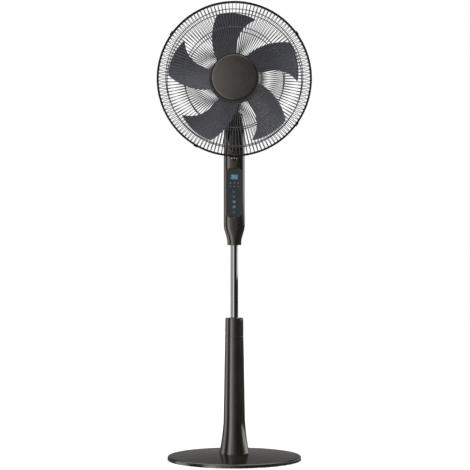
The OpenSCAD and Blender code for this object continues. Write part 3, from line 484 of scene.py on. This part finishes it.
def carve(bm, cutters):
    """The mesh less each cutter, as a new bmesh."""
    body = cutter(bm)
    for tool in cutters:
        cut = body.modifiers.new("cut", "BOOLEAN")
        cut.operation, cut.solver, cut.object = "DIFFERENCE", "EXACT", tool
    bpy.context.view_layer.update()
    done = body.evaluated_get(bpy.context.evaluated_depsgraph_get())
    result = bmesh.new()
    result.from_mesh(done.to_mesh())
    for made in [body] + cutters:
        bpy.data.objects.remove(made)
    return result


# %% Outline of the control panel
PANEL_Z = 0.7825               # middle of the panel
PANEL_W, PANEL_H = 0.0205, 0.0685          # half its width and half its height
PANEL_CHAMFER = 0.007
OPENING_GROW = 0.004           # the opening is this much wider than the lens, for the frame


def panel_plate(grow, low, high):
    """The panel's chamfered outline as a slab between two depths, y from low to high."""
    w, h, chamfer = PANEL_W + grow, PANEL_H + grow, PANEL_CHAMFER + 0.4 * grow
    bm = bmesh.new()
    bmesh.ops.create_grid(bm, x_segments=1, y_segments=1, size=1.0)
    for v in bm.verts:
        v.co = Vector((v.co.x * w, 0, v.co.y * h))
    bevel(bm, bm.verts[:], chamfer, 1, "VERTICES")
    grown = bmesh.ops.extrude_face_region(bm, geom=bm.faces[:])["geom"]
    moved = [v for v in grown if isinstance(v, bmesh.types.BMVert)]
    bmesh.ops.translate(bm, verts=moved, vec=(0, high - low, 0))
    bmesh.ops.translate(bm, verts=bm.verts, vec=(0, low, PANEL_Z))
    bmesh.ops.recalc_face_normals(bm, faces=bm.faces)
    return bm


# %% Front and rear shells
SHELL_SHARP = 28
SCREW_HOLE_R, INLET_R, INLET_Z = 0.0032, 0.0055, 0.7115
BEHIND = 0.04                  # y well behind the housing, where the rear cutters end

front = carve(half_shell(-1), [cutter(panel_plate(OPENING_GROW, -0.06, -0.010))])
piece("housing_front_shell", front, "mast", "dark_gloss", "housing_front", sharp=SHELL_SHARP)

screw_places = [(x, z) for x in (-0.020, 0.020) for z in (0.6945, 0.927)]
screw_holes = [rod_cutter(SCREW_HOLE_R, 0.017, BEHIND, x, z) for x, z in screw_places]
inlet_hole = rod_cutter(INLET_R, 0.010, BEHIND, 0, INLET_Z)
rear = carve(half_shell(1), screw_holes + [inlet_hole])
piece("housing_rear_shell", rear, "mast", "dark_gloss", "housing_rear", sharp=SHELL_SHARP)
softened("cord_inlet", "mast", "rubber", width=0.0005)

# %% [markdown]
# ## The control panel
# The panel is one dark lens in a thin frame. The frame keeps its solid form with softened edges.
# Behind the lens a two-digit display and six small icons are lit, and five round buttons sit in a
# column below them.

# %% Panel frame and lens
softened("panel_frame", "mast", "dark_gloss", width=0.0004, segments=3)
softened("control_panel", "mast", "panel_lens", width=0.00015, segments=1, sharp=5)

# %% [markdown]
# A digit is seven bars. Each bar is a small bevelled slab just in front of the display's window, so
# the digits are real shapes and not a picture.

# %% Helper for slabs on the panel's face
FACE = -0.0253                 # y of the lens
MARK_Y = FACE + 0.0002         # y where the display's digits and the icons begin


def slab(bm, x, z, wide, tall, deep=0.0003, y=FACE, turn=0.0, round_by=0.25):
    """A flat bar facing -Y with rounded corners."""
    made = bmesh.ops.create_grid(bm, x_segments=1, y_segments=1, size=0.5)["verts"]
    for v in made:
        v.co = Vector((v.co.x * wide, 0, v.co.y * tall))
    before = set(bm.verts) - set(made)
    bevel(bm, made, round_by * min(wide, tall), 3, "VERTICES")
    flat = [f for f in bm.faces if not (set(f.verts) & before)]
    grown = bmesh.ops.extrude_face_region(bm, geom=flat)["geom"]
    top = [v for v in grown if isinstance(v, bmesh.types.BMVert)]
    bmesh.ops.translate(bm, verts=top, vec=(0, -deep, 0))
    new = [v for v in bm.verts if v not in before]
    spin = Matrix.Translation((x, y, z)) @ Matrix.Rotation(math.radians(turn), 4, "Y")
    bmesh.ops.transform(bm, matrix=spin, verts=new)
    bmesh.ops.recalc_face_normals(bm, faces=bm.faces)


# %% Display window and digits
DIGITS = {"2": "abged", "6": "afgedc"}


def seven_bars(bm, digit, x, z, w=0.0052, h=0.0094, t=0.00125):
    places = {"a": (0, h / 2, w, t), "g": (0, 0, w, t), "d": (0, -h / 2, w, t),
              "f": (-w / 2, h / 4, t, h / 2 - t), "b": (w / 2, h / 4, t, h / 2 - t),
              "e": (-w / 2, -h / 4, t, h / 2 - t), "c": (w / 2, -h / 4, t, h / 2 - t)}
    for bar in DIGITS[digit]:
        dx, dz, wide, tall = places[bar]
        slab(bm, x + dx, z + dz, wide, tall, deep=0.0002, y=MARK_Y)


DISPLAY_Z = 0.829
window = bmesh.new()
slab(window, 0, DISPLAY_Z, 0.0216, 0.0142, deep=0.0030, y=FACE + 0.0031, round_by=0.12)
piece("display_window", window, "mast", "display_light", "display_module")
digits = bmesh.new()
for digit, x in (("2", -0.0048), ("6", 0.0048)):
    seven_bars(digits, digit, x, DISPLAY_Z)
piece("display_digits", digits, "mast", "digit_light")

# %% [markdown]
# The icons are generic marks, each a small ring round a thin bar or a block. They are as small as
# the dots under a real lens, and glow faintly.

# %% Icons
def ring_slab(bm, x, z, outer, inner, y, deep=0.00025, turn=360.0, start=0.0):
    """A flat ring facing -Y, spun from a small square section."""
    part = bmesh.new()
    points = [(inner, 0), (outer, 0), (outer, deep), (inner, deep)]
    verts = [part.verts.new((r, 0, h)) for r, h in points]
    for a, b in zip(verts, verts[1:] + verts[:1]):
        part.edges.new((a, b))
    full = turn >= 360
    spin_z(part, part.verts[:] + part.edges[:], math.radians(turn), int(40 * turn / 360),
           merge=full)
    if not full:
        bmesh.ops.holes_fill(part, edges=[e for e in part.edges if e.is_boundary], sides=0)
    bmesh.ops.recalc_face_normals(part, faces=part.faces)
    move = (Matrix.Translation((x, y, z)) @ FACE_FRONT
            @ Matrix.Rotation(math.radians(start), 4, "Z"))
    bmesh.ops.transform(part, matrix=move, verts=part.verts)
    mesh = bpy.data.meshes.new("ring")
    part.to_mesh(mesh)
    part.free()
    bm.from_mesh(mesh)
    bpy.data.meshes.remove(mesh)


ICON_ROWS = ((0.8108, 0.0004), (0.8009, 0.0012))            # height, width of the bar or block
for name, columns, finish in (("cool_icons", (-0.0111, 0.0), "icon_light"),
                              ("warm_icons", (0.0111,), "icon_blush")):
    marks = bmesh.new()
    for x in columns:
        for z, wide in ICON_ROWS:
            ring_slab(marks, x, z, 0.0021, 0.0014, MARK_Y)
            slab(marks, x, z, wide, 0.0016, deep=0.0002, y=MARK_Y)
    piece(name, marks, "mast", finish)

# %% [markdown]
# Each button is a low round cap. Its lit mark is a ring with a simple sign in it: three crossed
# bars for speed, a bar with two slanted ends for swing, two bars for mode and two hands for the
# timer. The ring of the power button is broken at the top, where its bar stands. The mark belongs
# to the button, so it goes in with it.

# %% Buttons
THIN = 0.0007                  # width of a line in a sign
BUTTON_Z = {"power": 0.7861, "speed": 0.7713, "swing": 0.7565, "mode": 0.7417, "timer": 0.7269}
button_outline = [(0, -0.006), (0.002, -0.006), (0.002, -0.0029), (0.0069, -0.0029),
                  (0.0069, -0.0023), (0.0057, -0.0023), (0.0057, 0.0004), (0.0050, 0.0006),
                  (0.0030, 0.00045), (0, 0.0004)]
# Each bar of a sign: x, rise above the middle, width, height, turn in degrees.
signs = {"power": [(0, 0.0022, THIN, 0.0028, 0)],
         "speed": [(0, 0, THIN, 0.0042, a) for a in (0, 60, 120)],
         "swing": [(0, 0, 0.0046, THIN, 0), (-0.0017, 0.0006, 0.0018, THIN, -45),
                   (0.0017, 0.0006, 0.0018, THIN, 45)],
         "mode": [(0, 0.0009, 0.0032, THIN, 0), (0, -0.0009, 0.0032, THIN, 0)],
         "timer": [(0, 0.0009, THIN, 0.0024, 0), (0.0008, 0, 0.0020, THIN, 0)]}
for name, z in BUTTON_Z.items():
    face = Matrix.Translation((0, FACE, z)) @ FACE_FRONT
    piece(name + "_cap", turned(button_outline, soften=0.0002, steps=64), name + "_button",
          "button_plastic", name + "_button", place=face)
    mark = bmesh.new()
    if name == "power":
        ring_slab(mark, 0, z, 0.0034, 0.0027, FACE - 0.00042, turn=300, start=120)
    else:
        ring_slab(mark, 0, z, 0.0036, 0.0030, FACE - 0.00042)
    for x, dz, wide, tall, turn in signs[name]:
        slab(mark, x, z + dz, wide, tall, deep=0.0002, y=FACE - 0.00040, turn=turn)
    piece(name + "_mark", mark, name + "_button",
          "bright_mark" if name in ("swing", "mode") else "button_light")

# %% [markdown]
# ## Neck and tilt joint
# The neck is one moulded fork on a spindle. It and the tilt bracket keep their solid form with
# softened edges, because their slots and bores are already right.

# %% Neck, bracket and pin
softened("neck", "neck", "dark_gloss", width=0.0007, segments=3)
softened("tilt_bracket", "head", "dark_satin", width=0.0006, segments=2)
softened("tilt_pin", "neck", "zinc", width=0.0003)
softened("bracket_screws", "head", "zinc", width=0.0003)

# %% [markdown]
# ## The motor cover
# A bowl with a broad round back and a ring of narrow air slots. The back is spun in fine steps, and
# the slots are faces left out of that grid before the wall gets its thickness with solidify.

# %% Motor cover
BOWL_R, BOWL_ROUND = 0.056, 0.016          # radius, and the rounding between side and back
BOWL_BACK = -0.064
SLOT_IN, SLOT_OUT = 0.014, 0.036           # radii at which a slot begins and ends
SLOT_EVERY, SLOT_HALF = 20, 3              # degrees from slot to slot, and half a slot


def motor_bowl():
    flat_r, turn_z = 0.040, -0.048
    outline = [(BOWL_R, z) for z in (0.028, 0.0, -0.024, turn_z)]
    outline += [(flat_r + BOWL_ROUND * math.cos(math.radians(a)),
                 turn_z - BOWL_ROUND * math.sin(math.radians(a))) for a in range(10, 91, 10)]
    outline += [(r, BOWL_BACK) for r in (SLOT_OUT, 0.032, 0.026, 0.020, SLOT_IN, 0.007)]
    bm = outline_mesh(outline, soften=0, closed=False)
    spin_z(bm, bm.verts[:] + bm.edges[:], 2 * math.pi, 180)
    bmesh.ops.holes_fill(bm, edges=[e for e in bm.edges if e.is_boundary
                                    and e.verts[0].co.xy.length < 0.01], sides=0)
    bmesh.ops.recalc_face_normals(bm, faces=bm.faces)
    slots = []
    for f in bm.faces:
        c = f.calc_center_median()
        step = math.degrees(math.atan2(c.y, c.x)) % SLOT_EVERY
        if (c.z < BOWL_BACK + 0.0005 and SLOT_IN < c.xy.length < SLOT_OUT
                and min(step, SLOT_EVERY - step) < SLOT_HALF):
            slots.append(f)
    bmesh.ops.delete(bm, geom=slots, context="FACES")
    middle = Vector((0, 0, -0.02))
    outward = sum(f.normal.dot(f.calc_center_median() - middle) for f in bm.faces)
    if outward < 0:
        bmesh.ops.reverse_faces(bm, faces=bm.faces)
    bmesh.ops.solidify(bm, geom=bm.faces[:], thickness=0.0022)
    bmesh.ops.recalc_face_normals(bm, faces=bm.faces)
    return bm


piece("motor_bowl", motor_bowl(), "head", "dark_satin", "motor_cover", place=LAY_DOWN)

# %% [markdown]
# ## The cage
# Each half of the cage has 128 round wires that leave a centre ring, run out nearly flat and turn
# down at the rim. One wire is a curve with a round section. It is made a mesh once, and a spin with
# duplicates sets out all the others, so the whole half stays light.

# %% Helper for one round wire
def swept_wire(points, radius, sides=3):
    """A round wire along points in the XZ plane, as a bmesh."""
    curve = bpy.data.curves.new("wire", "CURVE")
    curve.dimensions = "3D"
    curve.bevel_depth = radius
    curve.bevel_resolution = sides - 2
    curve.use_fill_caps = True
    line = curve.splines.new("POLY")
    line.points.add(len(points) - 1)
    for p, (r, z) in zip(line.points, points):
        p.co = (r, 0, z, 1)
    holder = bpy.data.objects.new("wire", curve)
    bpy.context.scene.collection.objects.link(holder)
    bpy.context.view_layer.update()
    bm = bmesh.new()
    bm.from_mesh(holder.to_mesh())
    bpy.data.objects.remove(holder)
    bpy.data.curves.remove(curve)
    return bm


# %% Wires, stiffening rings and hoop of one half
WIRES = 128
WIRE_R, RING_WIRE_R, HOOP_WIRE_R = 0.00095, 0.0013, 0.0016
INNER_RING, OUTER_RING = 0.1430, 0.1950    # radii of the two stiffening rings
HOOP_R = 0.2188


def dome(r, depth):
    return depth * math.sqrt(max(0.0, 1 - (r / WIRE_END) ** 8))


def torus(bm, r, z, radius, steps=160):
    """A ring of round wire, spun from a small circle."""
    circle = bmesh.ops.create_circle(bm, cap_ends=False, radius=radius, segments=8)["verts"]
    stand_up = Matrix.Translation((r, 0, z)) @ FACE_FRONT
    bmesh.ops.transform(bm, matrix=stand_up, verts=circle)
    edges = [e for e in bm.edges if e.verts[0] in circle and e.verts[1] in circle]
    spin_z(bm, circle + edges, 2 * math.pi, steps)


def cage_half(start_r, depth):
    """One half with its rim at z = 0. Points crowd together where the wire turns down."""
    level = [math.asin((r / WIRE_END) ** 4) for r in (start_r, 0.120, INNER_RING)]
    bends = level + [math.radians(a) for a in (17, 26, 36, 47, 58, 68, 76, 82)]
    path = [(WIRE_END * math.sin(t) ** 0.25, depth * math.cos(t)) for t in bends]
    path.append((WIRE_END + 0.0006, 0.003))
    bm = swept_wire(path, WIRE_R)
    bmesh.ops.rotate(bm, verts=bm.verts, cent=(0, 0, 0),
                     matrix=Matrix.Rotation(math.radians(180 / WIRES), 3, "Z"))
    step = 2 * math.pi / WIRES
    spin_z(bm, bm.verts[:] + bm.edges[:] + bm.faces[:], step * (WIRES - 1), WIRES - 1,
           merge=False, copies=True)
    for r in (INNER_RING, OUTER_RING):
        torus(bm, r, dome(r, depth) - 0.0003, RING_WIRE_R)
    torus(bm, HOOP_R, 0.0028, HOOP_WIRE_R)
    bmesh.ops.recalc_face_normals(bm, faces=bm.faces)
    return bm


# %% Front half
FORWARD = LAY_DOWN @ Matrix.Translation((0, 0, RIM_F))
WIRE_SHARP = 60
FRONT_DEPTH, REAR_DEPTH = 0.064, 0.060     # from the rim to the flat of each half
front_half = cage_half(0.0585, FRONT_DEPTH)
piece("front_cage", front_half, "head", "grille_wire", "front_grille", place=FORWARD,
      sharp=WIRE_SHARP)
centre_ring = [(0.0575, 0.0620), (0.0676, 0.0620), (0.0680, 0.0632), (0.0672, 0.0648),
               (0.0625, 0.0653), (0.0575, 0.0653)]
piece("front_centre_ring", turned(centre_ring, soften=0.0006), "head", "rim_black",
      place=FORWARD)

# %% Rear half, its plate and the nut that holds it
BACKWARD = FORWARD @ Matrix.Scale(-1, 4, (0, 0, 1))
rear_half = cage_half(0.0600, REAR_DEPTH)
bmesh.ops.transform(rear_half, matrix=BACKWARD, verts=rear_half.verts)
bmesh.ops.recalc_face_normals(rear_half, faces=rear_half.faces)
piece("rear_cage", rear_half, "head", "grille_wire", "rear_grille", sharp=WIRE_SHARP)
plate = [(0.0243, 0.043), (0.062, 0.043), (0.062, 0.0456), (0.0243, 0.0456)]
piece("rear_plate", turned(plate, soften=0.0006), "head", "rim_black", place=LAY_DOWN)
nut = [(0.0242, 0.0456), (0.036, 0.0456), (0.036, 0.0515), (0.0335, 0.055), (0.0242, 0.055)]
piece("cage_nut", turned(nut, soften=0.0006, steps=96), "head", "dark_satin", "grille_nut",
      place=LAY_DOWN)

# %% [markdown]
# ## The rim band and its clips
# A plastic band grips the hoops of both halves. It is split at the bottom, where a screw draws two
# ears together, so it is spun a little short of a full turn and its ends are closed.

# %% Rim band
BAND_GAP = 4.0 / 223.0         # radians: 4 mm at a radius of 223 mm
BAND_R, LIP_IN, GROOVE_R = 0.223, 0.2192, 0.2212
BAND_HALF, GROOVE_HALF = 0.007, 0.0055     # half the band's width, and half its groove's
band_outline = [(LIP_IN, -BAND_HALF), (BAND_R, -BAND_HALF), (BAND_R, BAND_HALF),
                (LIP_IN, BAND_HALF), (LIP_IN, GROOVE_HALF), (GROOVE_R, GROOVE_HALF),
                (GROOVE_R, -GROOVE_HALF), (LIP_IN, -GROOVE_HALF)]
band = turned(band_outline, soften=0.0006, steps=220, turn=360 - math.degrees(BAND_GAP))
bmesh.ops.rotate(band, verts=band.verts, cent=(0, 0, 0),
                 matrix=Matrix.Rotation(math.radians(-90) + BAND_GAP / 2, 3, "Z"))
for side in (-1, 1):
    ear = bmesh.ops.create_cube(band, size=1.0)["verts"]
    bmesh.ops.scale(band, vec=(0.004, 0.0082, 0.010), verts=ear)
    bmesh.ops.translate(band, vec=(side * 0.004, -0.2266, 0), verts=ear)
    ear_edges = [e for e in band.edges if e.verts[0] in ear and e.verts[1] in ear]
    bevel(band, ear_edges, 0.0008, 2)
piece("rim_shell", band, "head", "rim_black", "rim_band", place=FORWARD)
softened("rim_clips", "head", "rim_black", width=0.0005)
softened("rim_screw", "head", "zinc", width=0.0003)

# %% [markdown]
# ## The centre cap
# A shallow dome with a rolled edge closes the front. It carries no mark.

# %% Centre cap
SEAT = 0.1705                  # distance forward of the cap's edge
DOME = 0.005                   # rise of the dome
CAP_WALL = 0.002
crown = [(0.0625 * i / 16, SEAT + CAP_WALL + DOME * (1 - (i / 16) ** 2)) for i in range(17)]
under = [(0.0605 * i / 8, SEAT + DOME * (1 - (i / 8) ** 2)) for i in range(8, -1, -1)]
cap_outline = crown + [(0.0645, SEAT + 0.0008), (0.0645, SEAT)] + under
piece("cap_shell", turned(cap_outline, soften=0.0006, steps=128), "head", "cap_satin",
      "centre_cap", place=LAY_DOWN)

# %% [markdown]
# ## The blades
# A blade is a warped sheet: both its edges swing round as they leave the hub, it is hooked at its
# leading tip and hollow across its width. A flat grid gives the sheet. Its corners are rounded in
# the grid's own coordinates, and each vertex is then carried to its place. The sheet is extruded to
# give the wall, and the rim's edges are bevelled. The five blades are one piece, and the hub that
# carries them is another.

# %% One blade
HUB_R, ROOT_R, BLADE_R = 0.071, 0.0694, 0.191
ROOT_TRAILING, TRAILING_SWEEP = 134, 29    # degrees round the axis at the root, and the sweep
ROOT_LEADING, LEADING_SWEEP, HOOK = 86.6, 20.5, 2.6         # the hook is the sweep's power
BLADE_F, HOLLOW = 0.098, 0.005             # middle of the blade, forward; depth of its hollow
TRAILING_CORNER, LEADING_CORNER = 0.055, 0.02               # roundings of the tip's corners
HALF_WALL = 0.00115


def blade_point(u, v):
    """u runs from hub to tip, v from the trailing to the leading edge, both 0 to 1."""
    r = ROOT_R + (BLADE_R - 0.0085 * v * v - ROOT_R) * u
    span = (r - ROOT_R) / (BLADE_R - ROOT_R)
    trailing = ROOT_TRAILING - TRAILING_SWEEP * span
    leading = ROOT_LEADING - LEADING_SWEEP * max(0.0, span) ** HOOK
    a = math.radians(trailing + (leading - trailing) * v)
    height = 0.040 - 0.010 * span
    f = BLADE_F + height * (0.5 - v) - HOLLOW * math.sin(math.pi * v)
    return Vector((r * math.cos(a), r * math.sin(a), f))


def blade_sheet():
    bm = bmesh.new()
    bmesh.ops.create_grid(bm, x_segments=26, y_segments=22, size=0.5)
    for v in bm.verts:
        u, w = v.co.x + 0.5, v.co.y + 0.5
        for edge, corner in ((0.0, TRAILING_CORNER), (1.0, LEADING_CORNER)):
            du, dv = (1.0 - u) / corner, abs(edge - w) / (corner * 1.1)
            if du < 1 and dv < 1:
                reach = math.hypot(1 - du, 1 - dv)
                if reach > 1:
                    u = 1 - corner * (1 - (1 - du) / reach)
                    w = edge + (1 if edge == 0 else -1) * corner * 1.1 * (1 - (1 - dv) / reach)
        v.co = blade_point(u, w)
    bmesh.ops.recalc_face_normals(bm, faces=bm.faces)
    for v in bm.verts:
        v.co.z += HALF_WALL
    grown = bmesh.ops.extrude_face_region(bm, geom=bm.faces[:])["geom"]
    lower = [v for v in grown if isinstance(v, bmesh.types.BMVert)]
    bmesh.ops.translate(bm, verts=lower, vec=(0, 0, -2 * HALF_WALL))
    bmesh.ops.recalc_face_normals(bm, faces=bm.faces)
    rim = [e for e in bm.edges if len(e.link_faces) == 2
           and e.calc_face_angle(0) > math.radians(50)]
    bevel(bm, rim, 0.0008, 2)
    return bm


# %% Hub and five blades
BLADES = 5
hub_outline = [(0.004, 0.122), (0.024, 0.122), (0.045, 0.1206), (0.066, 0.119), (0.070, 0.116),
               (HUB_R, 0.113), (HUB_R, 0.074), (0.068, 0.074), (0.068, 0.113), (0.064, 0.116),
               (0.024, 0.1185), (0.012, 0.1185), (0.012, 0.087), (0.004, 0.087)]
# The hub takes the near-black rim finish. The thin ring of it that shows round the cap is partly
# its own dark colour and partly painted shade standing in for the cap's shadow.
piece("blade_hub", turned(hub_outline, soften=0.0008, steps=160), "rotor", "rim_black",
      place=LAY_DOWN)
rotor = bmesh.new()
sheet = blade_sheet()
sheet_mesh = bpy.data.meshes.new("sheet")
sheet.to_mesh(sheet_mesh)
sheet.free()
for k in range(BLADES):
    before = set(rotor.verts)
    rotor.from_mesh(sheet_mesh)
    fresh = [v for v in rotor.verts if v not in before]
    bmesh.ops.rotate(rotor, verts=fresh, cent=(0, 0, 0),
                     matrix=Matrix.Rotation(2 * math.pi * k / BLADES, 3, "Z"))
piece("blades", rotor, "rotor", "blade_slate", "fan_blade", place=LAY_DOWN)
softened("spinner_nut", "rotor", "dark_satin", width=0.0006)

# %% [markdown]
# ## The parts that stay as they are
# Screws, plates, boards and bearings keep the frame's own solids, with the finish that their record
# names.

# %% Finishes for the frame's own parts
for part in frame["record"]["subparts"]:
    shown = frame["nodes"][part["node"]]
    if not shown.hide_render:
        shown.data.materials.clear()
        shown.data.materials.append(FINISHES[part["material_slot"]])

# %% [markdown]
# ## Floor, light and camera
# The fan stands on a plain pale floor. The studio is drawn in the world's nodes, so that gloss sees
# the same soft boxes from every piece: two tall ones on the left, a broad one on the right that
# begins at camera height, a ceiling, and dim walls. The camera itself sees only white.

# %% Floor
disc = bmesh.new()
bmesh.ops.create_circle(disc, cap_ends=True, radius=6.0, segments=96)
floor = object_from("floor", disc)
floor_paint = finish_of("floor_paint", (0.86, 0.86, 0.86), rough=0.9, spread=0.02, grain=300,
                        bump=0.02)
floor.data.materials.append(floor_paint)
floor.visible_glossy = False

# %% Soft boxes as bands round the horizon
FULL = 5.0                     # brightness of a ramp's white
# Degrees from the camera's side, positive to the right, and the brightness there.
LEFT_AND_BACK = [(-180, .17), (-150, .11), (-124, .22), (-115, 1.9), (-92, 2.3), (-84, .4),
                 (-76, .16), (-59, .14), (-50, 2.5), (-40, 4.4), (-31, 3.2), (-22, 1.8),
                 (-12, 1.15), (0, .5), (11, .25), (20, .07), (52, .06), (74, .10), (90, .12),
                 (115, .12), (150, .11), (180, .17)]
RIGHT_BOX = [(-180, 0), (74, 0), (84, 2.2), (104, 3.2), (122, 2.4), (140, 1.6), (160, .6),
             (172, 0)]


def band_ramp(tree, angle, stops):
    """A colour ramp of brightness round the horizon, as a share of FULL."""
    ramp = add_node(tree, "ShaderNodeValToRGB")
    points = ramp.color_ramp.elements
    while len(points) < len(stops):
        points.new(0.5)
    for point, (degrees, bright) in zip(points, stops):
        point.position = (degrees + 180) / 360
        point.color = (bright / FULL, bright / FULL, bright / FULL, 1)
    tree.links.new(angle, ramp.inputs["Fac"])
    return ramp.outputs["Color"]


def maths(tree, operation, a, b):
    """A Math node's result; a and b are numbers or sockets."""
    made = tree.nodes.new("ShaderNodeMath")
    made.operation = operation
    for slot, value in zip(made.inputs, (a, b)):
        if isinstance(value, (int, float)):
            slot.default_value = value
        else:
            tree.links.new(value, slot)
    return made.outputs[0]


def height_step(tree, z, start, end):
    """0 at the start height and 1 at the end, both as the z of a direction."""
    span = add_node(tree, "ShaderNodeMapRange", From_Min=start, From_Max=end)
    tree.links.new(z, span.inputs["Value"])
    return span.outputs["Result"]


# %% The studio as a world
world = bpy.data.worlds.new("studio")
bpy.context.scene.world = world
world.use_nodes = True
tree = world.node_tree
place = add_node(tree, "ShaderNodeTexCoord")
axes = add_node(tree, "ShaderNodeSeparateXYZ")
tree.links.new(place.outputs["Generated"], axes.inputs["Vector"])
toward = maths(tree, "MULTIPLY", axes.outputs["Y"], -1.0)
up = axes.outputs["Z"]
turn = maths(tree, "ARCTAN2", axes.outputs["X"], toward)
angle = maths(tree, "ADD", maths(tree, "DIVIDE", turn, 2 * math.pi), 0.5)
walls = band_ramp(tree, angle, LEFT_AND_BACK)
box_height = maths(tree, "MULTIPLY", height_step(tree, up, -0.022, 0.0),
                   height_step(tree, up, 0.15, 0.08))
right = maths(tree, "MULTIPLY", band_ramp(tree, angle, RIGHT_BOX), box_height)
upper = height_step(tree, up, 0.5, 0.14)
fade = maths(tree, "ADD", maths(tree, "MULTIPLY", upper, 0.5), 0.5)
low_band = maths(tree, "ADD", maths(tree, "MULTIPLY", walls, fade), right)
ceiling = height_step(tree, up, 0.55, 0.75)
CEILING_LIGHT = 2.4
FACTOR, BELOW, ABOVE = 0, 2, 3             # inputs of a Mix node set to Float
studio = add_node(tree, "ShaderNodeMix")
studio.inputs[ABOVE].default_value = CEILING_LIGHT / FULL
tree.links.new(ceiling, studio.inputs[FACTOR])
tree.links.new(low_band, studio.inputs[BELOW])
seen = add_node(tree, "ShaderNodeBackground", Strength=1.0)
seen.inputs["Color"].default_value = (1, 1, 1, 1)
lit = add_node(tree, "ShaderNodeBackground", Strength=FULL)
tree.links.new(studio.outputs[0], lit.inputs["Color"])
path = add_node(tree, "ShaderNodeLightPath")
either = add_node(tree, "ShaderNodeMixShader")
tree.links.new(path.outputs["Is Camera Ray"], either.inputs[0])
tree.links.new(lit.outputs[0], either.inputs[1])
tree.links.new(seen.outputs[0], either.inputs[2])
output = tree.nodes.get("World Output") or tree.nodes.new("ShaderNodeOutputWorld")
tree.links.new(either.outputs[0], output.inputs["Surface"])

# %% Camera
lens = bpy.data.cameras.new("camera")
lens.sensor_width = 36.0
lens.lens = 137.3
camera = bpy.data.objects.new("camera", lens)
bpy.context.scene.collection.objects.link(camera)
camera.location = (0.002, -5.26, 0.704)
DOWN = 0.488                               # degrees below level
camera.rotation_euler = (math.radians(90 - DOWN), 0, 0)
bpy.context.scene.camera = camera
bpy.context.scene.view_settings.view_transform = "Standard"
